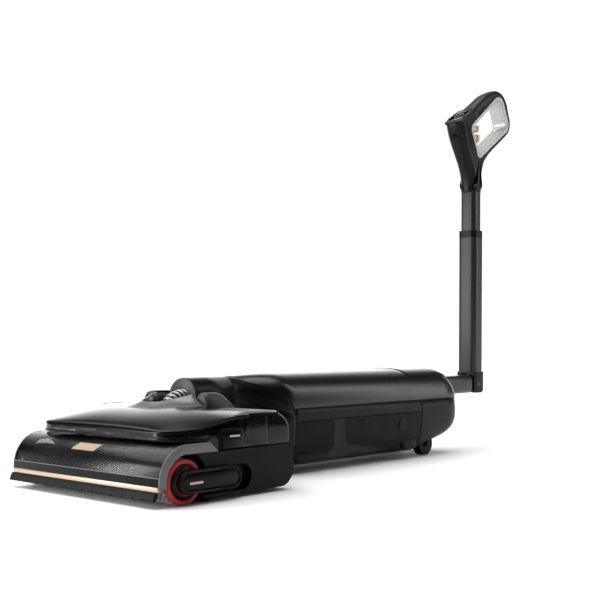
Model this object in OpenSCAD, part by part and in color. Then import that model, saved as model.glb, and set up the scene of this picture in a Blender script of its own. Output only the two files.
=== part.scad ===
// Cordless wet dry floor scrubber, lying flat with its folding handle turned up.
// +Z is up, the front of the cleaning head faces -Y, and the floor is Z = 0.
// Side views are drawn as [y, z] with y counted from the brush roller's axis.

/* [Cleaning head] */
// Width across the two side panels
head_w = 270; // [266:1:280]
// Outer radius of the brush roller over its nap
roller_r = 25.5; // [25:0.25:26]
// Distance from the roller's axis to the back of the side panels
head_depth = 174; // [172:1:180]
// Height of the seam between the side panels and the recovery tank
seam_z = 55; // [55:0.5:56]
// Outer radius of the see-through roller hood
hood_r = 40.5; // [40:0.25:41]
// Radius of the two drive wheels
wheel_r = 24; // [22:0.5:24]

/* [Neck and body] */
// Height of the neck tube's axis
neck_z = 105.5; // [105:0.5:106]
// Outer radius of the neck tube
neck_r = 25.5; // [25:0.25:25.5]
// Distance from the roller's axis to the neck's tilt axis
pivot_d = 128; // [127:0.5:129]
// Height of the neck's tilt axis
pivot_z = 97; // [96:0.5:98]
// Half width of the body
body_half_w = 60; // [58:1:62]
// Height of the body's back above the floor
body_top = 134; // [132:1:136]
// Distance from the roller's axis to the rear face of the body
body_end = 655; // [650:1:660]

/* [Handle] */
// Distance from the roller's axis to the fold hinge
fold_d = 779.5; // [775:0.5:790]
// Width of the outer handle tube across the machine
tube_w = 34; // [32:1:36]
// Depth of the outer handle tube
tube_t = 30; // [30:1:32]
// Height of the outer tube's upper end
tube_top = 364; // [340:1:380]
// Height of the lower end of the grip
grip_bottom = 430; // [428:1:460]

/* [Hidden] */
$fn = 64;
half_w = head_w / 2;
roller_z = roller_r;
bumper_reach = 41.5;
loop_back = 109;
front_y = (bumper_reach - fold_d - loop_back) / 2; // puts the middle of the whole length at Y = 0
eps = 0.01;
run = 0.05; // radial clearance of a turning fit
gap = 0.4; // clearance between removable pieces

ring_r = roller_r - 0.5;
core_r = 18;
nap_half = 127;
ring_half = 132.4;
cap_r = 18;
cap_in = 133;
arm_out = 143;
arm_r = 13;
arm_end = 66;
arm_split = 47;
lever_r = 8.8;
lever_pivot = 6.5;
panel_t = 12;
recess_r = 15;
recess_end = 88;
recess_floor = half_w - 9;
hood_c = 4.5;
hood_z = roller_z;
hood_half = 132.6;
hood_t = 2.2;
band_r = 30.4;
deck_z = seam_z - 0.5;
pan_z = 5;
chassis_half = half_w - panel_t - 0.2;
wheel_y = 138;
wheel_in = 90;
wheel_out = 108;
axle_r = 3;

tank_floor = seam_z + 0.3;
tank_half = 131;
tank_front = -8;
gap_half = 52;
gap_front = 72;
tank_wall = 2.5;
tank_top = 92;
lid_end = 104;
grip_axis = 111;
hose_r = 12.5;
hose_bend = 33.5;
hose_end = 121;
hose_y = hose_end - hose_bend;
hose_port_r = 13.3;

pillar_in = 40.5;
pillar_out = 50;
ear_in = 36;
ear_out = 40;
pivot_r = 5;
swivel_r = 4;
gimbal_floor = 68;
gimbal_t = 6;
neck_front = 117.5;
neck_back = 190;
neck_wall = 3.5;

belt_z = 88;
body_floor = 8;
body_wall = 3;
shell_front = 258;
bay_front = 262;
bay_end = 547;
bay_top = 78;
fan_r = 22;
tail_y = 589;
tail_r = 17;
tail_in = 26;
tail_out = 40;

fold_z = 103.5;
fold_pin_r = 3;
cheek_in = 7.6;
tongue_half = 7;
stub_end = fold_d - tube_t / 2 - 1.5;
cheek_bottom = fold_z - 15.5;
tube_bottom = fold_z + 18.5;
tube_wall = 2.5;
inner_w = tube_w - 2 * tube_wall - 0.4;
inner_t = tube_t - 2 * tube_wall - 0.4;
inner_bottom = 190;
inner_top = 470;
grip_half = 15;

// ---- helpers ----

// Points of an arc about [cy, cz]
function arc(cy, cz, r, a0, a1, n = 16) =
    [for (i = [0 : n]) [cy + r * cos(a0 + (a1 - a0) * i / n), cz + r * sin(a0 + (a1 - a0) * i / n)]];

// Moves a drawing whose y starts at the roller's axis into the part's frame
module machine() {
    translate([0, front_y, 0]) children();
}

// A side view [y, z] carried across the machine from x0 to x1
module across(x0, x1) {
    translate([x0, 0, 0]) rotate([90, 0, 90]) linear_extrude(x1 - x0) children();
}

// A front view [x, z] carried back from y0 to y1
module back(y0, y1) {
    translate([0, y1, 0]) rotate([90, 0, 0]) linear_extrude(y1 - y0) children();
}

// A round bar across the machine, from x0 to x1
module bar(y, z, r, x0, x1) {
    translate([x0, y, z]) rotate([0, 90, 0]) cylinder(r = r, h = x1 - x0);
}

// An upright round bar from z0 to z1
module post(y, r, z0, z1, x = 0) {
    translate([x, y, z0]) cylinder(r = r, h = z1 - z0);
}

// A block between two corners
module block(x0, x1, y0, y1, z0, z1) {
    translate([x0, y0, z0]) cube([x1 - x0, y1 - y0, z1 - z0]);
}

module round_rect(w, h, r) {
    square([w - 2 * r, h], center = true);
    square([w, h - 2 * r], center = true);
    for (sx = [-1, 1], sy = [-1, 1])
        translate([sx * (w / 2 - r), sy * (h / 2 - r)]) circle(r);
}

// A slot outline from y0 to y1 at height z, with round ends
module slot(y0, y1, z, r) {
    translate([y0, z]) circle(r);
    translate([y1, z]) circle(r);
    translate([y0, z - r]) square([y1 - y0, 2 * r]);
}

module pair() {
    children();
    mirror([1, 0, 0]) children();
}

// ---- cleaning head ----

module chassis() {
    color("#1c1c1d") machine() difference() {
        union() {
            block(-chassis_half, chassis_half, 34, head_depth - 4, pan_z, pan_z + 4);
            block(-chassis_half, chassis_half, head_depth - 9, head_depth - 4, pan_z, deck_z);
            block(-chassis_half, chassis_half, 34, head_depth - 4, deck_z - 3.5, deck_z);
            pair() block(chassis_half - 4, chassis_half, 34, head_depth - 4, pan_z, deck_z);
            across(-chassis_half, chassis_half) difference() {
                translate([0, roller_z]) circle(35);
                translate([0, roller_z]) circle(31);
                translate([-40, -20]) square([80, 30.2]);
                translate([-40, -20]) square([57, 90]);
                translate([-40, deck_z]) square([90, 40]);
            }
            pair() block(wheel_in - 7, wheel_in - 2, wheel_y - 8, wheel_y + 8, pan_z, wheel_r + 8);
            pair() block(wheel_out + 2, chassis_half, wheel_y - 8, wheel_y + 8, pan_z, wheel_r + 8);
        }
        pair() block(wheel_in - 2, wheel_out + 2, wheel_y - 28, wheel_y + 26, -1, pan_z + 5);
        pair() bar(wheel_y, wheel_r, axle_r + 0.02, wheel_in - 8, wheel_out + 10);
        post(hose_y, 10.5, deck_z - 5, deck_z + 1);
        post(100, 10, deck_z - 5, deck_z + 1, -80);
        post(100, 13.2, deck_z - 1, deck_z + 1, -80);
        block(-96, -64, 20, 40, 22, 42);
    }
}

module side_panel_profile() {
    polygon(concat(
        arc(0, roller_z, 33, 58, -38.5, 20),
        [[head_depth - 22, pan_z]],
        arc(head_depth - 22, pan_z + 22, 22, -85, 0, 10),
        [[head_depth, seam_z]]
    ));
}

module side_panel_right() {
    color("#2a2a2c") machine() difference() {
        across(half_w - panel_t, half_w) side_panel_profile();
        across(recess_floor, half_w + 1) slot(18, recess_end, roller_z - 1.5, recess_r);
    }
}

module side_panel_left() {
    color("#2a2a2c") mirror([1, 0, 0]) side_panel_right();
}

module spray_bar() {
    color("#303033") machine() difference() {
        union() {
            block(-118, 118, 12, 20, roller_z + 31.4, roller_z + 37);
            pair() block(112, 118, 12, 40, deck_z, roller_z + 34);
        }
        block(-114, 114, 14, 18, roller_z + 33, roller_z + 36);
        for (x = [-105 : 15 : 105]) post(16, 0.8, roller_z + 30, roller_z + 34, x);
    }
}

module roller_motor() {
    color("#7d7f82") machine() {
        bar(0, roller_z, 7.5, -cap_in, -118);
        bar(0, roller_z, 13, -118, -40);
        bar(0, roller_z, 5, -40, -30);
    }
}

// The round end cap and the outer part of the arm, from the front end to y1
module cap_and_arm(y1) {
    difference() {
        union() {
            bar(0, roller_z, cap_r, cap_in, arm_out - 4);
            intersection() {
                across(arm_out - 9, arm_out) slot(0, arm_end, roller_z, arm_r);
                block(arm_out - 9, arm_out, -20, y1, 0, 60);
            }
        }
        across(arm_out - 4.6, arm_out + 1) slot(0, arm_end, roller_z, lever_r + 0.8);
    }
}

module roller_cap_left() {
    color("#161617") machine() mirror([1, 0, 0]) {
        cap_and_arm(100);
        across(recess_floor, arm_out - 8) difference() {
            slot(arm_split, arm_end, roller_z, arm_r - 1);
            translate([0, 0]) square([arm_split, 60]);
        }
        across(arm_out - 5, arm_out + 0.4) slot(0, arm_end, roller_z, lever_r);
    }
}

module roller_cap_right() {
    color("#161617") machine() {
        difference() {
            cap_and_arm(arm_split - 0.2);
            translate([arm_out - 1, -lever_pivot, roller_z - 11]) cylinder(r = 1.25, h = 22);
        }
        bar(0, roller_z, 5, 110, cap_in + 2);
    }
}

module arm_rear_right() {
    color("#161617") machine() difference() {
        across(recess_floor, arm_out) difference() {
            slot(arm_split - 20, arm_end, roller_z, arm_r);
            translate([0, 0]) square([arm_split + 0.2, 60]);
        }
        across(arm_out - 4.6, arm_out + 1) slot(0, arm_end, roller_z, lever_r + 0.8);
    }
}

module release_lever() {
    color("#0f0f10") machine() {
        across(arm_out - 2.6, arm_out + 0.4) slot(0, arm_end, roller_z, lever_r);
        translate([arm_out - 1, -lever_pivot, roller_z - 10]) cylinder(r = 1.2, h = 20);
    }
}

module roller_core() {
    color("#b9bbbd") machine() difference() {
        bar(0, roller_z, core_r, -126, 126);
        bar(0, roller_z, core_r - 2, -127, -38);
        bar(0, roller_z, core_r - 2, -34, 122);
        bar(0, roller_z, 5.5, -39, -33);
        bar(0, roller_z, pivot_r + run, 121, 127);
    }
}

module roller_nap() {
    color("#8c8c8c") machine() difference() {
        bar(0, roller_z, roller_r, -nap_half, nap_half);
        bar(0, roller_z, core_r, -nap_half - 1, nap_half + 1);
    }
}

module end_rings() {
    color("#b3282b") machine() pair() difference() {
        bar(0, roller_z, ring_r, nap_half, ring_half);
        bar(0, roller_z, core_r - 1.5, nap_half - 1, ring_half + 1);
    }
}

module rear_squeegee() {
    color("#19191a") machine() {
        across(-122.6, 122.6) polygon([[22.5, 10.2], [24, 6], [24.6, 4.4], [31, 4.4], [31, 10.2]]);
        across(-130, 130) polygon([[24.5, 4.5], [26, 0], [30, 0], [31, 4.5]]);
    }
}

module wheel_axles() {
    color("#a9abae") machine() pair() bar(wheel_y, wheel_r, axle_r, wheel_in - 6, wheel_out + 8);
}

// The middle of a wheel's width, on the right for side 1 and on the left for side -1
function wheel_mid(side) = side * (wheel_in + wheel_out) / 2;

module wheel_hub(side) {
    color("#3a3a3c") machine() difference() {
        bar(wheel_y, wheel_r, wheel_r - 5, wheel_mid(side) - 9, wheel_mid(side) + 9);
        bar(wheel_y, wheel_r, axle_r + run, -200, 200);
    }
}

module wheel_tyre(side) {
    color("#121212") machine() difference() {
        bar(wheel_y, wheel_r, wheel_r, wheel_mid(side) - 9, wheel_mid(side) + 9);
        bar(wheel_y, wheel_r, wheel_r - 5, -200, 200);
    }
}

// Dirty water and air pass through this duct from the roller to the tank
module suction_duct() {
    color("#2b2b2d") machine() difference() {
        block(-95.5, -64.5, 36, 112.5, 18, deck_z - 3.6);
        block(-93.5, -66.5, 35, 110.8, 20, deck_z - 5.6);
        post(100, 10, deck_z - 8, deck_z, -80);
    }
}

// ---- roller hood ----

// Side view of the hood: round in front, then flat back to back_y, filled
module hood_side(r, back_y) {
    translate([hood_c, hood_z]) circle(r);
    translate([hood_c, hood_z]) square([back_y - hood_c, r]);
}

module roller_hood() {
    color("#3a3c3e", 0.5) machine() across(-hood_half, hood_half) difference() {
        hood_side(hood_r, 34);
        hood_side(hood_r - hood_t, 35);
        translate([-60, -60]) square([120, 92]);
        translate([34, 0]) square([60, 60]);
    }
}

module hood_end_bands() {
    color("#6e6f70") machine() pair() across(hood_half + 0.2, half_w) difference() {
        union() {
            hood_side(hood_r, 40);
            polygon([[39, hood_z], [39, hood_z + hood_r], [40, hood_z + hood_r],
                [49, seam_z + 1], [49, hood_z]]);
            translate([hood_c - hood_r, 20]) square([hood_r, 6]);
        }
        hood_side(band_r, 80);
        translate([hood_c - band_r, -60]) square([120, 60 + hood_z]);
        translate([-60, -60]) square([120, 80]);
    }
}

module hood_front_strip() {
    color("#101011") machine() across(-hood_half, hood_half)
        polygon([[-36.4, 23], [-33.6, 23], [-33.6, 31.9], [-36, 31.9]]);
}

module accent_strip() {
    color("#d8c3ab") machine() across(-hood_half, hood_half)
        polygon([[-37, 17.8], [-33.6, 17.8], [-33.6, 22.9], [-36.6, 22.9]]);
}

module front_bumper() {
    color("#3b3b3c") machine() difference() {
        across(-half_w, half_w)
            polygon([[-33.6, 17.7], [-37.3, 17.7], [-39.5, 15], [-bumper_reach, 9], [-40.5, 8], [-36.5, 8.3],
                [-33.6, 12]]);
        for (x = [-126 : 10.5 : 126]) block(x - 0.6, x + 0.6, -43, -39, 7, 10);
    }
}

// ---- recovery tank ----

// Outline of the tank seen from the side, inset by d
module tank_side(d) {
    polygon([
        [tank_front + d, seam_z + 13 + d], [36 - d / 2, seam_z + 13 + d], [50 - d / 2, tank_floor + d],
        [head_depth - d, tank_floor + d], [head_depth - 3 - d, 75], [166 - d, 85], [154 - d, tank_top - d],
        [100, tank_top - d], [40, tank_top - 2 - d], [8, tank_top - 6 - d], [tank_front + d, 79]
    ]);
}

// The tank seen from above, inset by d, with the gap that the neck passes through
module tank_plan(d) {
    difference() {
        translate([0, (tank_front + head_depth) / 2])
            round_rect(2 * (tank_half - d), head_depth - tank_front - 2 * d, 20 - d);
        translate([-gap_half - d, gap_front - d]) square([2 * (gap_half + d), 200]);
    }
}

module tank_block(d) {
    intersection() {
        across(-half_w, half_w) tank_side(d);
        linear_extrude(120) tank_plan(d);
    }
}

// The space that the lid takes from the top of the tank, grown by g
module lid_zone(g) {
    across(-half_w, half_w) polygon([
        [-20, 78.8 - g], [8, 83.2 - g], [40, tank_top - 4.8 - g], [lid_end + g, tank_top - 3 - g],
        [lid_end + g, 120], [-20, 120]
    ]);
}

module tank_lid() {
    color("#202022") machine() intersection() {
        tank_block(0);
        lid_zone(0);
    }
}

module dirty_tank() {
    color("#4a4c4f", 0.5) machine() difference() {
        union() {
            difference() {
                tank_block(0);
                tank_block(tank_wall);
            }
            pair() intersection() {
                tank_block(0);
                block(124, 140, 53, 92, 50, 79);
            }
            pair() for (x = [54.5, 124.6])
                block(x, x + 2.9, grip_axis - 3, grip_axis + 3, tank_top - 1, tank_top + 5);
            post(130, 2, tank_floor + 1, tank_top - 1, 90);
        }
        lid_zone(0.3);
        pair() bar(grip_axis, tank_top + 2.2, 1.4 + run, 50, 128);
        pair() block(128, 140, 56, 88.6, seam_z + 1, seam_z + 21.5);
        post(100, 10, seam_z - 5, seam_z + 5, -80);
    }
}

// The smooth cover on the lid in front of the neck, open above the air hose
module lid_nose() {
    color("#5a5a5c") machine() difference() {
        hull() {
            back(47, 48) translate([0, tank_top + 0.6]) square([10, 1], center = true);
            back(73, 74)
                polygon([[-48, tank_top], [-36, 103], [-20, 108], [20, 108], [36, 103], [48, tank_top]]);
            back(98, 99)
                polygon([[-50, tank_top], [-49, 101], [-40, 113], [40, 113], [49, 101], [50, tank_top]]);
        }
        block(-31, 31, 71, 100, 80, 120);
    }
}

module tank_seal() {
    color("#8a8a8a") machine() difference() {
        post(100, 13, deck_z - 0.7, tank_floor, -80);
        post(100, 10, deck_z - 2, tank_floor + 1, -80);
    }
}

module strainer() {
    color("#2c2c2e") machine() difference() {
        block(60, 115, 20, 48, 71, 80);
        block(62, 113, 22, 46, 73, 81);
        for (x = [66 : 8 : 110], y = [26 : 8 : 42]) post(y, 1.6, 70, 74, x);
    }
}

module float_valve() {
    color("#c9c9c9") machine() {
        difference() {
            post(130, 9, seam_z + 3, seam_z + 20, 90);
            post(130, 2.2, seam_z + 2, seam_z + 21, 90);
        }
    }
}

module tank_grip_right() {
    color("#8d8e8f") machine() {
        difference() {
            linear_extrude(tank_top + 3.4) translate([91, 129]) round_rect(66, 50, 8);
            block(50, 140, 90, 170, -1, tank_top + 0.6);
            block(50, 140, 98, grip_axis, 0, 120);
        }
        bar(grip_axis, tank_top + 2.2, 1.4, 55, 127);
    }
}

module tank_grip_left() {
    mirror([1, 0, 0]) tank_grip_right();
}

module tank_latch_right() {
    color("#141415") machine() across(half_w - 4.3, half_w + 0.2) difference() {
        translate([56.4, seam_z + 1.3]) square([31.8, 19.8]);
        difference() {
            translate([50, seam_z + 17.2]) square([50, 10]);
            slot(60.4, 84.2, seam_z + 17.1, 4);
        }
    }
}

module tank_latch_left() {
    mirror([1, 0, 0]) tank_latch_right();
}

// ---- neck ----

module neck_mount() {
    color("#606062") machine() {
        difference() {
            block(-pillar_out, pillar_out, gap_front + 1, 166, deck_z, seam_z + 7);
            post(hose_y, hose_port_r, deck_z - 1, seam_z + 8);
        }
        pair() difference() {
            across(pillar_in, pillar_out)
                polygon([[101, seam_z + 7], [102, 84], [107, 110], [111, 114], [132, 114], [162, 95],
                    [166, 84], [166, seam_z + 7]]);
            bar(pivot_d, pivot_z, pivot_r + 0.02, pillar_in - 1, 47);
        }
    }
}

module pivot_pins() {
    color("#a9abae") machine() pair() bar(pivot_d, pivot_z, pivot_r, ear_in, 47);
}

module air_hose() {
    color("#9a9b9d") machine() {
        difference() {
            post(hose_y, hose_r, deck_z, pivot_z - 25);
            post(hose_y, hose_r - 2, deck_z - 1, pivot_z - 24);
        }
        translate([0, hose_end, neck_z - hose_bend]) rotate([90, 0, -90])
            rotate_extrude(angle = 90) translate([hose_bend, 0]) difference() {
                circle(hose_r);
                circle(hose_r - 2);
            }
    }
}

module neck_gimbal() {
    color("#4b4c4e") machine() difference() {
        union() {
            block(-ear_out, ear_out, pivot_d - 11, pivot_d + 11, gimbal_floor, gimbal_floor + gimbal_t);
            pair() across(ear_in, ear_out) {
                translate([pivot_d, pivot_z]) circle(11);
                translate([pivot_d - 11, gimbal_floor]) square([22, pivot_z - gimbal_floor]);
            }
        }
        bar(pivot_d, pivot_z, pivot_r + run, -41, 41);
        post(pivot_d, swivel_r + 0.02, gimbal_floor - 1, gimbal_floor + 10);
    }
}

module swivel_pin() {
    color("#a9abae") machine() post(pivot_d, swivel_r, gimbal_floor, neck_z - 21);
}

module neck_tube() {
    color("#1f1f20") machine() difference() {
        union() {
            back(neck_front + 3, neck_back) translate([0, neck_z]) circle(neck_r);
            post(pivot_d, 7, gimbal_floor + gimbal_t + 0.3, neck_z - 20);
        }
        difference() {
            back(neck_front + 2, neck_back + 1) translate([0, neck_z]) circle(neck_r - neck_wall);
            post(pivot_d, 7, gimbal_floor, neck_z - 20);
        }
        post(pivot_d, swivel_r + run, gimbal_floor, neck_z - 19);
    }
}

module neck_cap() {
    color("#555557") machine() back(neck_front, neck_front + 3) translate([0, neck_z]) difference() {
        circle(neck_r);
        circle(hose_port_r);
    }
}

// ---- body ----

// The body's cross-section, inset by d: a domed back over straight flanks and a rounded belly
module body_section(d) {
    w = body_half_w - d;
    h = body_top - belt_z - d;
    polygon(concat(
        [for (t = [0 : 7.5 : 180]) let (c = cos(t), s = sin(t))
            [w * sign(c) * pow(abs(c), 0.75), belt_z + h * pow(s, 0.75)]],
        arc(-w + 27, body_floor + d + 27, 27, 180, 270, 8),
        arc(w - 27, body_floor + d + 27, 27, 270, 360, 8)
    ));
}

// The slanted seam between the front collar and the top shell
module seam_wedge(shift) {
    across(-80, 80) polygon([
        [222 + shift, body_top + 3], [shell_front + shift, belt_z], [shell_front + shift, -5], [800, -5],
        [800, body_top + 3]
    ]);
}

// Side view of the clean water tank, grown by d
module bay_side(d) {
    polygon(concat(
        [[bay_front - d, -5]],
        arc(bay_front + 15, bay_top - 15, 15 + d, 180, 90, 8),
        arc(bay_end - 35, bay_top - 35, 35 + d, 90, 0, 12),
        [[bay_end + d, -5]]
    ));
}

module tail_shape() {
    across(-80, 80) polygon([
        [100, -5], [575, -5], [575, body_floor], [618, 25], [body_end - 6, 27], [body_end, 40],
        [body_end, 118], [body_end - 18, 140], [100, 140]
    ]);
}

module lower_shell() {
    color("#19191a") machine() difference() {
        union() {
            intersection() {
                back(bay_front - 4, body_end) body_section(0);
                tail_shape();
                block(-80, 80, 0, 900, 0, belt_z);
            }
            difference() {
                hull() {
                    back(neck_back, neck_back + 2) translate([0, neck_z]) circle(neck_r + 0.3);
                    back(bay_front - 5, bay_front - 4) body_section(0);
                }
                intersection() {
                    seam_wedge(0);
                    block(-80, 80, 0, 900, belt_z, 200);
                }
            }
        }
        across(-80, 80) bay_side(gap);
        block(-57, 57, bay_front, body_end - body_wall, bay_top + 3.4, belt_z + 1);
        intersection() {
            back(bay_end + 4, body_end - body_wall) body_section(body_wall);
            across(-80, 80) polygon([[550, body_floor + 3], [575, body_floor + 3], [618, 28], [660, 30],
                [660, belt_z + 1], [550, belt_z + 1]]);
        }
        back(neck_back - 1, bay_front + 1) translate([0, neck_z]) circle(neck_r - neck_wall);
        pair() block(tail_in - 1.5, tail_out + 1.5, tail_y - 20, tail_y + 20, -5, 30);
        bar(tail_y, tail_r, 4 + run, -tail_out - 6, tail_out + 6);
        back(body_end - 10, body_end + 1) translate([0, fold_z]) round_rect(tube_w + 0.1, tube_t + 0.1, 9);
    }
}

module top_shell() {
    color("#1d1d1f") machine() difference() {
        intersection() {
            back(200, body_end) body_section(0);
            seam_wedge(0.3);
            tail_shape();
            block(-80, 80, 0, 900, belt_z + eps, 200);
        }
        intersection() {
            back(199, body_end - body_wall) body_section(body_wall);
            block(-80, 80, 0, 900, belt_z - 1, 200);
            across(-80, 80)
                polygon([[100, 0], [body_end - 3, 0], [body_end - 3, 114], [body_end - 20, 137], [100, 137]]);
        }
        back(body_end - 10, body_end + 1) translate([0, fold_z]) round_rect(tube_w + 0.1, tube_t + 0.1, 9);
        block(-33, 33, 530, body_end + 1, body_top - 5.6, 200);
    }
}

// The cover over the battery's rear end, with a narrow step along its sides
module rear_cover() {
    color("#232324") machine() intersection() {
        back(530, body_end) body_section(-0.6);
        block(-32.7, 32.7, 530.3, body_end - 6, body_top - 5.4, 200);
        across(-80, 80)
            polygon([[500, 0], [body_end - 10, 0], [body_end - 10, 126], [body_end - 22, 136], [500, 136]]);
    }
}

module fan_motor() {
    color("#9b9da0") machine() {
        back(272, 340) translate([0, neck_z - 1]) circle(fan_r);
        block(-14, 14, 280, 332, bay_top + 3.4, neck_z - 15);
    }
}

module battery_pack() {
    color("#2f4a6b") machine() block(-48, 48, 350, 500, bay_top + 3.4, bay_top + 34);
}

module water_pump() {
    color("#e0e0dc") machine() {
        block(2, 28, 556, 566, body_floor + 3, 74);
        translate([25, 0, 57]) back(566, 600) translate([0, 0]) circle(13);
    }
}

module tail_wheels() {
    color("#121212") machine() {
        pair() bar(tail_y, tail_r, tail_r, tail_in, tail_out);
        bar(tail_y, tail_r, 4, -tail_out - 5, tail_out + 5);
    }
}

module clean_tank() {
    color("#3d3f42", 0.5) machine() difference() {
        intersection() {
            back(200, 600) body_section(0);
            across(-80, 80) bay_side(0);
        }
        intersection() {
            back(200, 600) body_section(tank_wall);
            across(-80, 80) bay_side(-tank_wall);
        }
        bar(500, 54, 9, 50, 70);
    }
}

// Filler plug in the tank's right flank
module clean_tank_cap() {
    color("#101011") machine() bar(500, 54, 9, body_half_w - tank_wall, body_half_w + 1);
}

// ---- handle ----

module stub_tube() {
    color("#1b1b1c") machine() difference() {
        union() {
            back(600, stub_end) translate([0, fold_z]) round_rect(tube_w, tube_t, 9);
            across(-tongue_half, tongue_half) {
                translate([fold_d, fold_z]) circle(13);
                translate([stub_end - 1, fold_z - 13]) square([fold_d - stub_end + 1, 26]);
            }
        }
        back(599, stub_end - 13) translate([0, fold_z]) round_rect(tube_w - 5, tube_t - 5, 6.5);
        bar(fold_d, fold_z, fold_pin_r + 0.02, -20, 20);
        block(-6.3, 6.3, stub_end - 11.3, stub_end - 1.7, fold_z + 12, 140);
    }
}

module fold_pin() {
    color("#a9abae") machine() bar(fold_d, fold_z, fold_pin_r, -16.4, 16.4);
}

module fold_button() {
    color("#3a3a3c") machine() block(-6, 6, stub_end - 11, stub_end - 2, fold_z + 13.8, fold_z + 17);
}

// Rounded tube section at the handle's place, seen from above
module tube_plan(w, t, r) {
    translate([0, fold_d]) round_rect(w, t, r);
}

module outer_tube() {
    color("#232325") machine() difference() {
        translate([0, 0, cheek_bottom]) linear_extrude(tube_top - cheek_bottom) tube_plan(tube_w, tube_t, 9);
        translate([0, 0, tube_bottom + 5]) linear_extrude(400)
            tube_plan(inner_w + 0.4, inner_t + 0.4, 6.7);
        block(-cheek_in, cheek_in, fold_d - 20, fold_d + 20, cheek_bottom - 1, tube_bottom);
        across(-40, 40) difference() {
            translate([fold_d - 20, fold_z - 20]) square(20);
            translate([fold_d, fold_z]) circle(15);
        }
        bar(fold_d, fold_z, fold_pin_r + run, -20, 20);
    }
}

module inner_tube() {
    color("#343436") machine() difference() {
        translate([0, 0, inner_bottom]) linear_extrude(inner_top - inner_bottom)
            tube_plan(inner_w, inner_t, 6.5);
        translate([0, 0, inner_bottom - 1]) linear_extrude(inner_top)
            tube_plan(inner_w - 4, inner_t - 4, 4.5);
    }
}

// Side view of the grip: a stem, a raked display face and a loop for the hand
module grip_outline() {
    polygon(concat(
        [[fold_d - 15.5, grip_bottom], [fold_d - 16.5, 450], [fold_d - 34.5, 489], [fold_d - 45.5, 519],
            [fold_d - 52, 541], [fold_d - 15.5, 568], [fold_d + 30, 600]],
        arc(fold_d + loop_back - 34, 580, 34, 117, -18, 15),
        [[fold_d + 97, 544], [fold_d + 42, 503], [fold_d + 22, 482], [fold_d + 16, 460],
            [fold_d + 15.5, grip_bottom]]
    ));
}

// The opening for the hand, grown by d
module grip_hole(d) {
    polygon(concat(
        arc(fold_d + 18, 548, 8 + d, 190, 122, 5),
        arc(fold_d + 76, 583, 10 + d, 122, 0, 8),
        arc(fold_d + 78, 562, 10 + d, 0, -55, 6),
        arc(fold_d + 21, 514, 8 + d, -55, -165, 8)
    ));
}

module grip_shell() {
    color("#161617") machine() difference() {
        across(-grip_half, grip_half) grip_outline();
        across(-grip_half - 1, grip_half + 1) grip_hole(4);
        translate([0, 0, grip_bottom - 1]) linear_extrude(inner_top - grip_bottom + 1.2)
            tube_plan(inner_w + 0.1, inner_t + 0.1, 6.5);
        translate([0, fold_d - 52, 541]) rotate([36.4, 0, 0]) block(-13, 13, 3, 42, -2, 10);
    }
}

module grip_trim() {
    color("#b9babb") machine() difference() {
        across(-grip_half - 0.5, grip_half + 0.5) difference() {
            grip_hole(3.9);
            grip_hole(0);
        }
        across(-8, 8) translate([fold_d, 510]) square([17, 42]);
    }
}

module display_panel() {
    color("#08080a") machine() translate([0, fold_d - 52, 541]) rotate([36.4, 0, 0])
        block(-12.8, 12.8, 3.2, 41.8, -1.9, 0);
}

module trigger(y0, z0, z1) {
    machine() across(-6, 6) polygon([[y0, z0], [y0 + 4, z0], [y0 + 5.5, z0 + 3],
        [y0 + 5.5, z1 - 3], [y0 + 4, z1], [y0, z1]]);
}

module power_trigger() {
    color("#d8c3ab") trigger(fold_d + 9.2, 533, 545);
}

module mode_trigger() {
    color("#d8c3ab") trigger(fold_d + 10.8, 516, 530);
}

chassis();
side_panel_right();
side_panel_left();
spray_bar();
roller_motor();
roller_cap_left();
arm_rear_right();
rear_squeegee();
neck_mount();
pivot_pins();
wheel_axles();
suction_duct();
air_hose();
roller_cap_right();
roller_core();
roller_nap();
end_rings();
release_lever();
roller_hood();
hood_end_bands();
hood_front_strip();
accent_strip();
front_bumper();
dirty_tank();
tank_lid();
lid_nose();
tank_seal();
strainer();
float_valve();
tank_grip_right();
tank_grip_left();
tank_latch_right();
tank_latch_left();
wheel_hub(1);  // wheel_hub_right
wheel_tyre(1);  // wheel_tyre_right
wheel_hub(-1);  // wheel_hub_left
wheel_tyre(-1);  // wheel_tyre_left
neck_gimbal();
swivel_pin();
neck_tube();
neck_cap();
lower_shell();
top_shell();
rear_cover();
fan_motor();
battery_pack();
water_pump();
stub_tube();
fold_pin();
tail_wheels();
clean_tank();
clean_tank_cap();
fold_button();
outer_tube();
inner_tube();
grip_shell();
grip_trim();
display_panel();
power_trigger();
mode_trigger();
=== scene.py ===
# %% [markdown]
# A cordless floor washer lying flat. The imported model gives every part's true place and every joint;
# this script dresses it. Most pieces are surfaces worked out as arrays: a profile carried along a path,
# or a function of two parameters on a grid. Lengths are written in millimetres, with y counted from the
# brush roller's axis, because that is how the machine is laid out.

# %% Load the frame
import math
import bmesh
import bpy
import numpy as np
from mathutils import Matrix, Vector
from mathutils.geometry import delaunay_2d_cdt


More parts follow.
